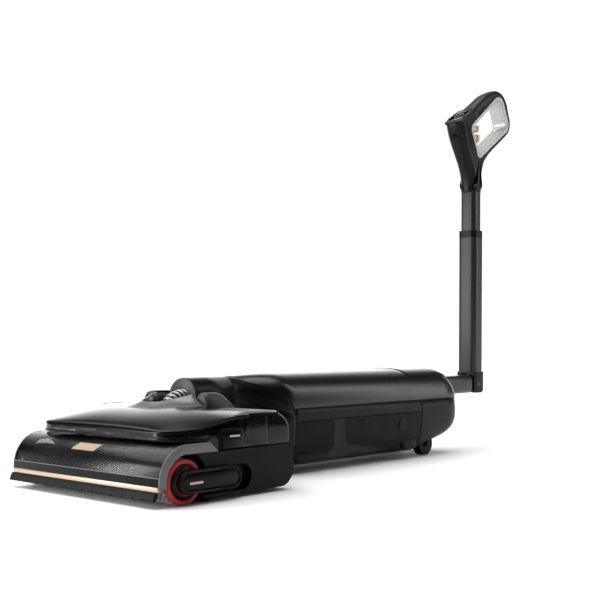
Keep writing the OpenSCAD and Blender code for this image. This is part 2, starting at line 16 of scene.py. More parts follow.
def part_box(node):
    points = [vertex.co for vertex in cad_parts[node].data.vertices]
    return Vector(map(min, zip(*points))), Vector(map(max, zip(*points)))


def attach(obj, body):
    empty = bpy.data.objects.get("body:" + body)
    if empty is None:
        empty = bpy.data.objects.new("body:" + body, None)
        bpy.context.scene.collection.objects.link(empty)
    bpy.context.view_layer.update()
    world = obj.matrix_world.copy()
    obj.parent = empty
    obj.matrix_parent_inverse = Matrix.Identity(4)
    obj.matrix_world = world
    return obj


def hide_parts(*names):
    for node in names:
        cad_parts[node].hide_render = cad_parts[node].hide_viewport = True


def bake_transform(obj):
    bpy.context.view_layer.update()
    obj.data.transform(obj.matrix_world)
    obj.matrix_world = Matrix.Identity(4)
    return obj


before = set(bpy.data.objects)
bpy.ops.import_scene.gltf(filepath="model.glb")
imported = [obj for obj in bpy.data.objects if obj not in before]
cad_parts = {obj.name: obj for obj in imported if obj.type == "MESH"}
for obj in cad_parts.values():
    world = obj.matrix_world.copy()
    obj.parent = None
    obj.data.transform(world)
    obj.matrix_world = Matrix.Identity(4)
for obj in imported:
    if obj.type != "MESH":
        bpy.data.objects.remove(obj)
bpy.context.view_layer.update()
pi, tau = math.pi, 2 * math.pi
rng = np.random.default_rng(7)

# %% [markdown]
# ## Shared places
# Places that several pieces share, such as the roller's axis, the belt line and the fold pin, are read
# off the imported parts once, so that the dressing follows them. Sizes of a single piece stay with it.

# %% Anchors measured on the frame
def corners(node):
    """A node's two corners in millimetres, with y counted from the roller's axis."""
    low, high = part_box(node)
    return np.array(low) * 1000 - (0, AXIS, 0), np.array(high) * 1000 - (0, AXIS, 0)

AXIS = 0.0
nap_low, nap_high = corners("roller_nap")
AXIS = float((nap_low[1] + nap_high[1]) / 2)
nap_low, nap_high = corners("roller_nap")
NAP_R = float(nap_high[2] - nap_low[2]) / 2
RZ = NAP_R
panel_low, panel_high = corners("side_panel_right")
HW = float(panel_high[0])
HEAD_END = float(panel_high[1])
SEAM = float(panel_high[2])
tank_low, tank_high = corners("dirty_tank")
neck_low, neck_high = corners("neck_cap")
NECK_Z = float(neck_low[2] + neck_high[2]) / 2
NECK_R = float(neck_high[0])
NECK_Y = float(neck_low[1])
body_low, body_high = corners("lower_shell")
BODY_END = float(body_high[1])
top_low, top_high = corners("top_shell")
BODY_TOP = float(top_high[2])
BELT = float(top_low[2])
BW = float(top_high[0])
ct_low, ct_high = corners("clean_tank")
pin_low, pin_high = corners("fold_pin")
FOLD_Y = float(pin_low[1] + pin_high[1]) / 2
FOLD_Z = float(pin_low[2] + pin_high[2]) / 2
mast_low, mast_high = corners("outer_tube")
grip_low, grip_high = corners("grip_shell")
print(f"roller r {NAP_R:.1f}, half width {HW:.1f}, neck y {NECK_Y:.1f} z {NECK_Z:.1f}, fold y {FOLD_Y:.1f}")

# %% [markdown]
# ## Shapes as arrays
# A moulded shell is mostly a row of cross-sections joined into a skin. One function turns a grid of
# points into a mesh, and the others only work out the grid. Smooth shading is broken by angle, so an
# edge that is meant to be crisp stays crisp.

# %% Grid to mesh
def to_m(p):
    """Millimetres from the roller's axis to metres in the frame: divide by 1000, then add the axis's y."""
    p = np.asarray(p, float) / 1000
    p[..., 1] += AXIS / 1000
    return p

def mesh_piece(name, verts, faces, body, mat, sharp=32, stands_for=(), slot=None):
    """One object from points in millimetres and faces as index lists; it rides on its body, if it has one."""
    me = bpy.data.meshes.new(name)
    me.from_pydata(to_m(verts).tolist(), [], [list(map(int, f)) for f in faces])
    me.validate()
    me.polygons.foreach_set("use_smooth", [True] * len(me.polygons))
    me.set_sharp_from_angle(angle=math.radians(sharp))
    me.materials.append(mat)
    ob = bpy.data.objects.new(name, me)
    bpy.context.scene.collection.objects.link(ob)
    if body:
        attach(ob, body)
    if stands_for:
        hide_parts(*([stands_for] if isinstance(stands_for, str) else stands_for))
    return ob

def grid_faces(rows, cols, close_rows, close_cols, start=0):
    """Quads of a grid, row i and column j meeting row i+1 and column j+1, wrapped where it closes."""
    i = np.arange(rows if close_rows else rows - 1)[:, None]
    j = np.arange(cols if close_cols else cols - 1)[None, :]
    a, b = i * cols + j, i * cols + (j + 1) % cols
    c, d = ((i + 1) % rows) * cols + (j + 1) % cols, ((i + 1) % rows) * cols + j
    return (np.stack([a, b, c, d], -1).reshape(-1, 4) + start).tolist()

def outward(verts, faces):
    """Flips every face if the signed volume, the sum of corner triple products over 6, is negative."""
    tris = np.array([(f[0], f[k], f[k + 1]) for f in faces for k in range(1, len(f) - 1)])
    v = np.asarray(verts, float)
    v = v - v.mean(0)
    vol = np.einsum("ij,ij->", v[tris[:, 0]], np.cross(v[tris[:, 1]], v[tris[:, 2]]))
    return faces if vol > 0 else [list(f)[::-1] for f in faces]

def skin(name, grid, body, mat, ring=True, caps=(True, True), loop=False, **kw):
    """A skin over grid[row, column]: ring closes each row on itself, loop closes last row to first."""
    grid = np.asarray(grid, float)
    rows, cols = grid.shape[:2]
    faces = grid_faces(rows, cols, loop, ring)
    if ring and not loop:
        faces += [list(range(cols))[::-1]] * caps[0]
        faces += [[(rows - 1) * cols + k for k in range(cols)]] * caps[1]
    verts = grid.reshape(-1, 3)
    closed = loop or (ring and all(caps))
    return mesh_piece(name, verts, outward(verts, faces) if closed else faces, body, mat, **kw)

# %% [markdown]
# ## Outlines
# Moulded edges are straights joined by arcs. An outline is a list of points that can be rounded at its
# corners, drawn in by a distance, carried along an axis with a rolled edge, or turned about an axis.

# %% Outlines
def fillet(points, radii, n=8):
    """A polygon whose corners are rounded: each corner gives way to n+1 points of a curve that starts
    and ends one cut length away along its two edges, blended as a quadratic of the corner."""
    p = np.asarray(points, float)
    r = np.broadcast_to(np.asarray(radii, float), len(p))
    before, after = np.roll(p, 1, 0) - p, np.roll(p, -1, 0) - p
    lb, la = np.linalg.norm(before, axis=1), np.linalg.norm(after, axis=1)
    ub, ua = before / lb[:, None], after / la[:, None]
    half = np.arccos(np.clip((ub * ua).sum(1), -1, 1)) / 2
    cut = np.minimum(r / np.maximum(np.tan(half), 1e-3), np.minimum(lb, la) * 0.49)
    a, b = p + ub * cut[:, None], p + ua * cut[:, None]
    t = np.linspace(0, 1, n + 1)[None, :, None]
    mid = p[:, None, :]
    curve = (1 - t) ** 2 * a[:, None] + 2 * t * (1 - t) * mid + t ** 2 * b[:, None]
    chord = a[:, None] * (1 - t) + b[:, None] * t
    return (curve * 0.94 + chord * 0.06).reshape(-1, 2)

def stadium(y0, y1, z, r, n=20):
    """Two half circles of radius r about (y0, z) and (y1, z), joined by straights."""
    a = np.linspace(-pi / 2, pi / 2, n)
    right = np.stack([y1 + r * np.cos(a), z + r * np.sin(a)], 1)
    left = np.stack([y0 - r * np.cos(a), z - r * np.sin(a)], 1)
    return np.concatenate([right, left])

def superellipse(a, b, n, k=64, turn=0.0):
    """k points with |x/a|^n + |y/b|^n = 1, from the angle's cosine and sine raised to 2/n."""
    t = np.linspace(0, tau, k, endpoint=False) + turn
    c, s = np.cos(t), np.sin(t)
    return np.stack([a * np.sign(c) * np.abs(c) ** (2 / n), b * np.sign(s) * np.abs(s) ** (2 / n)], 1)

def inset(outline, d):
    """Moves each corner of a closed outline in by d along the mean of its two edge normals."""
    p = np.asarray(outline, float)
    e = np.roll(p, -1, 0) - p
    e /= np.maximum(np.linalg.norm(e, axis=1), 1e-9)[:, None]
    area = (p[:, 0] * np.roll(p[:, 1], -1) - np.roll(p[:, 0], -1) * p[:, 1]).sum()
    n1 = np.stack([-e[:, 1], e[:, 0]], 1) * np.sign(area)
    m = n1 + np.roll(n1, 1, 0)
    m /= np.maximum(np.linalg.norm(m, axis=1), 1e-9)[:, None]
    cosine = np.maximum((m * n1).sum(1), 0.5)
    return p + m * (d / cosine)[:, None]

def slab(name, outline, x0, x1, body, mat, edge=0.8, steps=3, axis=0, **kw):
    """A plate: a closed outline carried from x0 to x1 across an axis, its rims rounded by a quarter
    circle of the radius edge, whose points lie edge*(1-cos) in and edge*(1-sin) short of the face."""
    a = np.linspace(0, pi / 2, steps + 1)
    ins = np.concatenate([edge * (1 - np.sin(a)), edge * (1 - np.sin(a[::-1]))])
    xs = np.concatenate([x0 + edge * (1 - np.cos(a)), x1 - edge * (1 - np.cos(a[::-1]))])
    rows = []
    for d, x in zip(ins, xs):
        q = inset(outline, d)
        rows.append(np.insert(q, axis, x, axis=1))
    return skin(name, np.array(rows), body, mat, **kw)

def turned(name, profile, y, z, body, mat, n=96, side=1, **kw):
    """A profile of (x, radius) points turned about the line across the machine through (y, z)."""
    pr = np.asarray(profile, float)
    t = np.linspace(0, tau, n, endpoint=False)
    x = np.repeat(pr[:, :1] * side, n, 1)
    g = np.stack([x, y + pr[:, 1:] * np.cos(t), z + pr[:, 1:] * np.sin(t)], -1)
    return skin(name, g, body, mat, **kw)

def cut_away(ob, verts, faces):
    """Takes a closed shape out of a piece and leaves the result as the piece's own mesh."""
    me = bpy.data.meshes.new("cutter")
    me.from_pydata(to_m(verts).tolist(), [], outward(verts, faces))
    tool = bpy.data.objects.new("cutter", me)
    bpy.context.scene.collection.objects.link(tool)
    mod = ob.modifiers.new("cut", "BOOLEAN")
    mod.operation, mod.solver, mod.object = "DIFFERENCE", "EXACT", tool
    done = bpy.data.meshes.new_from_object(ob.evaluated_get(bpy.context.evaluated_depsgraph_get()))
    ob.modifiers.clear()
    ob.data = done
    bpy.data.objects.remove(tool)
    return ob

def prism_points(outline, x0, x1):
    """Points and faces of an outline in y and z carried straight from x0 to x1, for cutting."""
    n = len(outline)
    v = np.concatenate([np.insert(outline, 0, x0, 1), np.insert(outline, 0, x1, 1)])
    return v, grid_faces(2, n, False, True) + [list(range(n))[::-1], list(range(n, 2 * n))]

def soften(ob, width, segments=2, angle=35):
    """Rounds every edge sharper than angle by width, in millimetres, and shades the flats as flats."""
    b = ob.modifiers.new("rounded edges", "BEVEL")
    b.width, b.segments, b.limit_method, b.angle_limit = width / 1000, segments, "ANGLE", math.radians(angle)
    b.harden_normals = True
    return ob

# %% [markdown]
# ## Finishes
# Nearly everything here is moulded plastic. What tells one moulding from the next is the grain of the
# tool it came from and how it catches a soft light, so each finish is a colour, a roughness that
# drifts a little over the surface, and a grain sized in millimetres.

# %% Colour and node helpers
def linear(code, alpha=1.0):
    """An sRGB hex value to linear: channels over 0.04045 are ((c+0.055)/1.055)^2.4, others c/12.92."""
    c = np.array([int(code[k:k + 2], 16) / 255 for k in (1, 3, 5)])
    lin = np.where(c > 0.04045, ((c + 0.055) / 1.055) ** 2.4, c / 12.92)
    return (*[float(v) for v in lin], alpha)

def add(tree, kind, links=(), **settings):
    """Adds a node, sets its properties and input values, and links sockets given as (socket, input)."""
    node = tree.nodes.new(kind)
    for key, value in settings.items():
        if hasattr(node, key) and key not in node.inputs:
            setattr(node, key, value)
        else:
            node.inputs[key.replace("_", " ")].default_value = value
    for socket, target in links:
        tree.links.new(socket, node.inputs[target])
    return node

def finish(name, base, rough, grain_mm=0.6, grain=0.03, drift=0.06, tint=None, tint_amount=0.25, **shader):
    """A moulded finish. Colour: base drifting towards tint with a slow noise. Roughness: rough plus or
    minus drift. Bump: a grain of the given size, its height a share of a twentieth of a millimetre."""
    mat = bpy.data.materials.new(name)
    mat.use_nodes = True
    t = mat.node_tree
    t.nodes.clear()
    out = add(t, "ShaderNodeOutputMaterial")
    bsdf = add(t, "ShaderNodeBsdfPrincipled", **shader)
    pos = add(t, "ShaderNodeTexCoord")
    slow = add(t, "ShaderNodeTexNoise", [(pos.outputs["Object"], "Vector")], Scale=14.0, Detail=1.0)
    fine = add(t, "ShaderNodeTexNoise", [(pos.outputs["Object"], "Vector")], Scale=1000.0 / grain_mm,
               Detail=2.0)
    mix = add(t, "ShaderNodeMix", data_type="RGBA", blend_type="MIX")
    mix.inputs[6].default_value = linear(base)
    mix.inputs[7].default_value = linear(tint or base)
    share = add(t, "ShaderNodeMapRange", [(slow.outputs["Fac"], "Value")])
    share.inputs["From Min"].default_value, share.inputs["From Max"].default_value = 0.35, 0.75
    share.inputs["To Max"].default_value = tint_amount
    t.links.new(share.outputs["Result"], mix.inputs[0])
    t.links.new(mix.outputs[2], bsdf.inputs["Base Color"])
    ruf = add(t, "ShaderNodeMapRange", [(slow.outputs["Fac"], "Value")])
    ruf.inputs["From Min"].default_value, ruf.inputs["From Max"].default_value = 0.3, 0.7
    ruf.inputs["To Min"].default_value, ruf.inputs["To Max"].default_value = max(rough - drift / 2,
                                                                                 0.02), rough + drift / 2
    t.links.new(ruf.outputs["Result"], bsdf.inputs["Roughness"])
    bump = add(t, "ShaderNodeBump", [(fine.outputs["Fac"], "Height")], Strength=grain, Distance=0.00005)
    t.links.new(bump.outputs["Normal"], bsdf.inputs["Normal"])
    t.links.new(bsdf.outputs["BSDF"], out.inputs["Surface"])
    return mat

# %% [markdown]
# ## Plastics, paint and metal
# Blacks differ mostly in how tight their highlight is, and painted parts in a touch of metal flake.
# Every one comes from the same function, so that only the numbers that set it apart are written down.

# %% Moulded plastics
# ABS from a fine spark-eroded tool: an even satin black with a soft, wide highlight
satin_black = finish("ABS moulded satin black", "#0a0a0b", 0.34, 0.5, 0.10, 0.05, "#111112", 0.5,
                     Specular_IOR_Level=0.12)
# the same plastic from a polished tool: a tight highlight with only a faint waviness
gloss_black = finish("ABS moulded gloss black", "#070708", 0.20, 1.5, 0.03, 0.04, "#0a0a0b", 0.5,
                     Specular_IOR_Level=0.12)
# glass-filled nylon, a little lighter and drier where the fibre comes to the surface
charcoal = finish("nylon moulded charcoal", "#0c0c0d", 0.42, 0.45, 0.14, 0.06, "#171718", 0.6,
                  Specular_IOR_Level=0.10)
band_gray = finish("ABS moulded mid gray", "#5a5a59", 0.38, 0.45, 0.08, 0.05, "#626261", 0.5)
neck_gray = finish("ABS moulded gray, neck face", "#343435", 0.4, 0.5, 0.1, 0.04, "#39393a", 0.4,
                   Specular_IOR_Level=0.3)
cowl_gray = finish("ABS painted soft graphite", "#6c6c6e", 0.27, 0.4, 0.05, 0.04, "#565657", 0.6,
                   Metallic=0.35)
plate_gray = finish("ABS painted light graphite", "#7c7c7c", 0.30, 0.4, 0.05, 0.05, "#868685", 0.6,
                    Metallic=0.3)
champagne = finish("ABS painted champagne", "#c9b39c", 0.30, 0.3, 0.08, 0.05, "#bfa68c", 0.4, Metallic=0.35)
silver_trim = finish("ABS painted satin silver", "#b4b4b3", 0.36, 0.3, 0.06, 0.04, "#a8a8a7", 0.5,
                     Metallic=0.35)
anodised = finish("aluminium anodised black", "#242426", 0.36, 0.35, 0.10, 0.04, "#2c2c2e", 0.5,
                  Metallic=0.4)
pin_steel = finish("steel turned bright", "#b9babb", 0.28, 0.25, 0.15, 0.06, "#a8a9aa", 0.3, Metallic=1.0)
window_black = finish("acrylic window black", "#060607", 0.10, 2.0, 0.02, 0.03, "#0a0a0c", 0.3)
cell_wrap = finish("PVC heat-shrunk blue", "#26415f", 0.35, 0.8, 0.2, 0.05, "#1f3650", 0.6)
valve_white = finish("polypropylene moulded white", "#cfcfcb", 0.4, 0.6, 0.08, 0.05, "#c2c2bd", 0.4)
# moulded rubber: no clear highlight, slightly chalky where it has been handled
rubber = finish("rubber moulded black", "#0e0e0f", 0.5, 0.4, 0.2, 0.08, "#161616", 0.6,
                Specular_IOR_Level=0.14)
motor_case = finish("steel pressed and plated", "#8a8b8c", 0.32, 0.3, 0.2, 0.05, "#7a7b7c", 0.3,
                    Metallic=1.0)
print(len(bpy.data.materials), "finishes so far")

# %% [markdown]
# ## Smoked plastics
# The hood and both tanks are smoked polycarbonate. Refraction would be truer, but partial cover is
# steadier through several thin walls, and what matters is how much of the dark inside shows.

# %% See-through smoked plastics
def smoked(name, base, alpha, rough, **shader):
    """Smoked polycarbonate: dark pigment seen as partial cover, over a surface as smooth as its tool."""
    mat = finish(name, base, rough, grain=0.0, drift=0.02, tint_amount=0.0, Alpha=alpha, **shader)
    mat.surface_render_method = "BLENDED"
    return mat

smoked_hood = smoked("polycarbonate smoked hood", "#050506", 0.55, 0.20, Specular_IOR_Level=0.35)
smoked_tank = smoked("polycarbonate smoked tank", "#0c0c0d", 0.60, 0.14, Specular_IOR_Level=0.4)
smoked_clear = smoked("polycarbonate smoked clean tank", "#060607", 0.90, 0.26, Specular_IOR_Level=0.08)

# %% [markdown]
# ## Roller pile finish
# The roller is wrapped in a speckled weave. Its threads could be drawn one by one, but at this size
# only the speckle and the darker rows round it are seen, so both are mixed in the finish.

# %% Roller pile
# woven microfibre in three shades of gray, twisted into a helix of darker and lighter rows 7 mm apart
def pile_finish():
    """Speckle from a fine noise over thirds of the range, times rows whose phase is the turn round the
    axis plus the way along it."""
    mat = bpy.data.materials.new("microfibre woven speckled gray")
    mat.use_nodes = True
    t = mat.node_tree
    t.nodes.clear()
    out = add(t, "ShaderNodeOutputMaterial")
    bsdf = add(t, "ShaderNodeBsdfPrincipled", Roughness=0.9)
    bsdf.inputs["Sheen Weight"].default_value = 0.3
    pos = add(t, "ShaderNodeTexCoord")
    speck = add(t, "ShaderNodeTexNoise", [(pos.outputs["Object"], "Vector")], Scale=900.0, Detail=2.0,
                Roughness=0.6)
    ramp = add(t, "ShaderNodeValToRGB", [(speck.outputs["Fac"], "Fac")])
    ramp.color_ramp.elements[0].position, ramp.color_ramp.elements[1].position = 0.36, 0.62
    ramp.color_ramp.elements[0].color = linear("#747474")
    ramp.color_ramp.elements[1].color = linear("#e2e2e0")
    mid = ramp.color_ramp.elements.new(0.5)
    mid.color = linear("#a9a9a8")
    rows = add(t, "ShaderNodeAttribute", attribute_name="row")
    dark = add(t, "ShaderNodeMix", [(rows.outputs["Fac"], 0)], data_type="RGBA", blend_type="MIX")
    t.links.new(ramp.outputs["Color"], dark.inputs[7])
    shade = add(t, "ShaderNodeMix", [(ramp.outputs["Color"], 6)], data_type="RGBA", blend_type="MULTIPLY")
    shade.inputs[0].default_value = 1.0
    shade.inputs[7].default_value = linear("#454545")
    t.links.new(shade.outputs[2], dark.inputs[6])
    t.links.new(dark.outputs[2], bsdf.inputs["Base Color"])
    bump = add(t, "ShaderNodeBump", [(speck.outputs["Fac"], "Height")], Strength=0.3, Distance=0.0004)
    t.links.new(bump.outputs["Normal"], bsdf.inputs["Normal"])
    t.links.new(bsdf.outputs["BSDF"], out.inputs["Surface"])
    return mat

pile = pile_finish()
bristle = finish("nylon bristle red", "#a31f25", 0.55, 0.5, 0.5, 0.08, "#7d1218", 0.7)

# %% [markdown]
# ## Brush roller
# The roller is a tube wrapped in woven microfibre, with a ring of stiff red bristle at each end that
# reaches into corners. The pile could be grown as hair, but at this size it reads as a rough speckled
# skin, so it is one: a cylinder whose radius drops by a random tuft depth at each point.

# %% Pile and bristle rings
def roller_pile(n_len=330, n_turn=210):
    """Radius = the nap's radius less a tuft depth of up to 0.12 mm. Light rows are where the sine of
    (way along / 7 mm + 23 turns round) is near its top."""
    x = np.linspace(nap_low[0], nap_high[0], n_len)[:, None] + np.zeros((1, n_turn))
    a = np.linspace(0, tau, n_turn, endpoint=False)[None, :] + np.zeros((n_len, 1))
    tuft = rng.random((n_len, n_turn)) ** 1.5
    r = NAP_R - 0.05 - 0.12 * tuft
    row = np.clip(np.sin(tau * x / 7.0 + 23 * a) * 2.2 - 0.9, 0, 1)
    r = r - 0.6 * (1 - row)
    r[[0, -1]] -= 1.2
    g = np.stack([x, r * np.cos(a), RZ + r * np.sin(a)], -1)
    ob = skin("roller_pile", g, "roller", pile, stands_for="roller_nap", slot="nap_gray")
    at = ob.data.attributes.new("row", "FLOAT", "POINT")
    at.data.foreach_set("value", (0.25 + 0.75 * row).ravel().astype(np.float32))
    return ob

def bristle_ring(side, n=220):
    """A closed profile turned about the axis, its outer points drawn in at random by up to 0.7 mm."""
    pr = np.array([(127.1, 16.8), (127.2, 24.6), (128.6, 25.2), (131.5, 25.3), (133.6, 25.0), (134.7, 23.8),
                   (134.9, 22.2), (134.7, 20.6), (133.2, 19.6), (131.2, 18.8)])
    a = np.linspace(0, tau, n, endpoint=False)
    r = pr[:, 1:] - rng.random((len(pr), n)) * np.array([0, .5, .6, .7, .6, .5, .3, .3, .2, 0])[:, None]
    x = pr[:,
           :1] + (rng.random((len(pr), n)) - 0.5) * np.array([0, 0, 0, 0, 0, .3, .35, .35, .3, 0])[:, None]
    g = np.stack([x * side, r * np.cos(a), RZ + r * np.sin(a)], -1)
    return skin(f"bristle_ring_{'right' if side > 0 else 'left'}", g, "roller", bristle, loop=True,
                stands_for="end_rings", slot="bristle_red", sharp=50)

roller_pile()
for side in (1, -1):
    bristle_ring(side)
print("roller: pile and two bristle rings")

# %% [markdown]
# ## Roller ends and release arm
# Each end of the roller is closed by a stepped black disc. On the right the disc and a long arm form
# the carrier that pulls out with the roller; a glossy lever is let into the arm, inside a raised rim.
# The rim is a stadium outline drawn in and stepped down in rows, which gives its rounded lip for free.

# %% Hubs, arms and levers
def end_disc(side, body, stands_for=()):
    """A stepped profile of (x, radius) turned about the roller's axis."""
    pr = [(131.0, 0.4), (131.0, 17.9), (131.5, 18.6), (133.0, 18.7), (134.6, 18.0), (135.8, 16.8),
          (136.6, 15.4),
          (135.2, 14.9), (135.2, 13.6), (138.2, 13.3), (138.4, 0.4)]
    return turned(f"end_disc_{'right' if side > 0 else 'left'}", pr, 0, RZ, body, satin_black, side=side,
                  stands_for=stands_for, slot="plastic_gloss", sharp=25)

def groove_ring(side, body):
    """A thin red hoop in the disc's groove."""
    pr = [(135.1, 13.9), (135.9, 13.9), (135.9, 14.7), (135.1, 14.7)]
    return turned(f"groove_ring_{'right' if side > 0 else 'left'}", pr, 0, RZ, body, bristle, side=side,
                  loop=True,
                  slot="bristle_red")

def rim_rows(side):
    """Rows of the arm: the stadium drawn in by d at the place x, out over the lip and down to the floor."""
    base = stadium(0, 66, RZ, 13)
    steps = [(0.0, 134.2), (0.0, 140.9), (0.2, 142.0), (0.8, 142.7), (1.6, 143.0), (2.7, 142.9),
             (3.4, 142.4),
             (3.8, 141.6), (3.9, 139.0)]
    return np.array([np.insert(inset(base, d), 0, x * side, 1) for d, x in steps])

def split_at(ob, y, keep_front):
    """Cuts a piece by the plane across the machine at y, keeps one side and closes the cut."""
    bm = bmesh.new()
    bm.from_mesh(ob.data)
    plane = Vector(to_m([0, y, 0]).tolist())
    cut = bmesh.ops.bisect_plane(bm, geom=bm.verts[:] + bm.edges[:] + bm.faces[:], plane_co=plane,
                                 plane_no=(0, 1 if keep_front else -1, 0), clear_outer=True)
    edges = [e for e in cut["geom_cut"] if isinstance(e, bmesh.types.BMEdge)]
    bmesh.ops.edgenet_fill(bm, edges=edges)
    bmesh.ops.recalc_face_normals(bm, faces=bm.faces)
    bm.to_mesh(ob.data)
    bm.free()
    return ob

end_disc(1, "roller_cap", "roller_cap_right")
end_disc(-1, "head", "roller_cap_left")
groove_ring(1, "roller_cap")
groove_ring(-1, "head")
split_at(skin("arm_front_right", rim_rows(1), "roller_cap", satin_black, slot="plastic_gloss"), 46.8, True)
split_at(skin("arm_back_right", rim_rows(1), "head", satin_black, stands_for="arm_rear_right",
              slot="plastic_gloss"), 47.2, False)
skin("arm_left", rim_rows(-1), "head", satin_black, slot="plastic_gloss")
soften(slab("lever_right", stadium(0, 66, RZ, 8.7), 139.6, 142.0, "release_lever", gloss_black, edge=0.7,
            stands_for="release_lever", slot="plastic_gloss"), 0.1)
slab("lever_panel_left", stadium(0, 66, RZ, 8.7), -142.0, -139.0, "head", gloss_black, edge=0.7,
     slot="plastic_gloss")
slab("lever_dash_right", stadium(2, 19, RZ - 1, 1.35), 141.4, 142.35, "release_lever", champagne, edge=0.3,
     slot="accent_beige")
slab("lever_dash_left", stadium(2, 19, RZ - 1, 1.35), -142.35, -141.4, "head", champagne, edge=0.3,
     slot="accent_beige")
print("roller ends: discs, arms, levers and dashes")

# %% [markdown]
# ## Side panels
# The panels are thick mouldings with a long scoop round the arm. The front edge is hollowed to follow
# the roller. The outline is a few arcs joined up; the scoop is cut out and every edge rolled over, so
# that the lower lip of the scoop catches the light as a real moulding's does.

# %% Panels with their scoops
def arc_points(y, z, r, a0, a1, n=20):
    """n points at radius r about (y, z), from angle a0 to a1 in degrees."""
    a = np.radians(np.linspace(a0, a1, n))
    return np.stack([y + r * np.cos(a), z + r * np.sin(a)], 1)

def panel_outline():
    return np.concatenate([arc_points(0, RZ, 33, 61, -38.5, 30),
                           arc_points(HEAD_END - 22, 5 + 22, 22, -90, 0, 12),
                           [[HEAD_END, SEAM - 1.2], [HEAD_END - 0.6, SEAM]]])

def side_panel(side):
    name = "right" if side > 0 else "left"
    lo, hi = sorted((side * 123, side * HW))
    ob = slab(f"panel_{name}", panel_outline(), lo, hi, "head", charcoal, edge=0.05, steps=1,
              stands_for=f"side_panel_{name}", slot="plastic_charcoal")
    lo, hi = sorted((side * 126.5, side * (HW + 5)))
    cut_away(ob, *prism_points(stadium(18, 87.5, RZ - 2.1, 14.8, 28), lo, hi))
    return soften(ob, 1.7, 4, 30)

for side in (1, -1):
    side_panel(side)
print("side panels: 2")

# %% [markdown]
# ## Roller hood
# The hood is a smoked shell bent over the roller, with a gray band at each end, a black strip and a
# champagne line along its front, and a rubber bumper below. Each is one profile carried across the
# machine. The shell is thin and open below, so its profile is a curve out and the same curve back.

# %% Hood and the strips along its front
HC = 4.5
def hood_profile(r, back):
    """Up the front, over a quarter circle of radius r about (4.5, roller axis), then straight back."""
    return np.concatenate([[[HC - r + 0.2, 31.9]], arc_points(HC, RZ, r, 168, 90, 40), [[back, RZ + r]]])

outer, inner = hood_profile(40.5, 34), hood_profile(38.4, 34)
slab("hood_shell", np.concatenate([outer, inner[::-1]]), -132.6, 132.6, "hood", smoked_hood, edge=0.4,
     stands_for="roller_hood", slot="smoked_clear", sharp=40)

def hood_band(side):
    out = np.concatenate([[[HC - 40.5, 20.2]], arc_points(HC, RZ, 40.5, 178, 90, 40),
                          [[37.5, RZ + 40.5], [50.3, 54.9]]])
    back = np.concatenate([[[HC, 54.9]], arc_points(HC, RZ, 29.9, 92, 180, 30), [[HC - 29.9, 20.2]]])
    lo, hi = sorted((side * 132.8, side * HW))
    return slab(f"hood_band_{'right' if side > 0 else 'left'}", np.concatenate([out, back]), lo, hi, "hood",
                band_gray,
                edge=0.5, stands_for="hood_end_bands", slot="plastic_gray", sharp=40)

for side in (1, -1):
    hood_band(side)
slab("front_strip", [[-36.3, 23.1], [-33.8, 23.1], [-33.8, 31.8], [-36.0, 31.8]], -132.6, 132.6, "hood",
     gloss_black,
     edge=0.25, stands_for="hood_front_strip", slot="plastic_gloss")
# painted highlight: a thin gray strip on the top edge of the black front strip stands for the light that edge
# catches
slab("front_strip_painted_highlight", [[-36.15, 31.9], [-34.4, 31.9], [-34.4, 32.8], [-36.1, 32.8]], -132.6, 132.6,
     "hood",
     band_gray, edge=0.2, slot="plastic_gray")
slab("champagne_line", fillet([[-37.0, 17.8], [-33.8, 17.8], [-33.8, 22.9], [-36.7, 22.9]], 0.7, 3), -132.6,
     132.6,
     "hood", champagne, edge=0.4, stands_for="accent_strip", slot="accent_beige")

def bumper():
    """A lip profile carried across, its toe drawn in by 1 mm and up by 1.1 mm within 0.8 mm of a notch;
    notches are 17.6 mm apart."""
    pr = fillet([[-33.8, 17.6], [-37.2, 17.6], [-39.0, 15.2], [-41.4, 9.2], [-40.4, 8.1], [-36.8, 8.4],
                 [-33.8, 12.0]],
                0.8, 3)
    x = np.unique(np.concatenate([np.linspace(-HW, HW - 5,
                                              120)] + [k * 17.6 + 8.8 + np.array([-1.3, -0.8, 0.8, 1.3])
                                                               for k in range(-8, 8)]))
    x = x[(x >= -HW) & (x <= HW - 5)]
    notch = np.clip((1.3 - np.abs((x % 17.6) - 8.8)) / 0.5, 0, 1)[:, None]
    toe = np.clip((11.5 - pr[:, 1]) / 3, 0, 1)[None, :]
    y = pr[None, :, 0] + 1.0 * notch * toe
    z = pr[None, :, 1] + 1.1 * notch * toe
    g = np.stack([np.broadcast_to(x[:, None], y.shape), y, z], -1)
    return skin("front_bumper_lip", g, "hood", rubber, stands_for="front_bumper", slot="rubber_black",
                sharp=28)

bumper()

plate_champagne = finish("ABS painted champagne, matt", "#a9937d", 0.5, 0.3, 0.08, 0.04, "#98836d", 0.4)
def hood_plate():
    """A thin patch on the hood: a slanted four-sided outline laid on the quarter circle by arc angle."""
    u, v = np.meshgrid(np.linspace(0, 1, 24), np.linspace(0, 1, 10), indexing="ij")
    x = -27 + 41 * u + 7 * (v - 0.5)
    a = np.radians(124 + 15 * (1 - v))
    top = np.stack([x, HC + 40.9 * np.cos(a), RZ + 40.9 * np.sin(a)], -1)
    low = np.stack([x, HC + 40.3 * np.cos(a), RZ + 40.3 * np.sin(a)], -1)
    n, m = u.shape
    faces = grid_faces(n, m, False, False) + [f[::-1] for f in grid_faces(n, m, False, False, n * m)]
    edge = np.concatenate([np.arange(n) * m, (n - 1) * m + np.arange(1, m),
                           (np.arange(n - 1)[::-1]) * m + m - 1,
                           np.arange(1, m - 1)[::-1]])
    nxt = np.roll(edge, -1)
    faces += np.stack([nxt, edge, edge + n * m, nxt + n * m], -1).tolist()
    v = np.concatenate([top.reshape(-1, 3), low.reshape(-1, 3)])
    return mesh_piece("hood_plate", v, outward(v, faces), "hood", plate_champagne, slot="accent_beige")

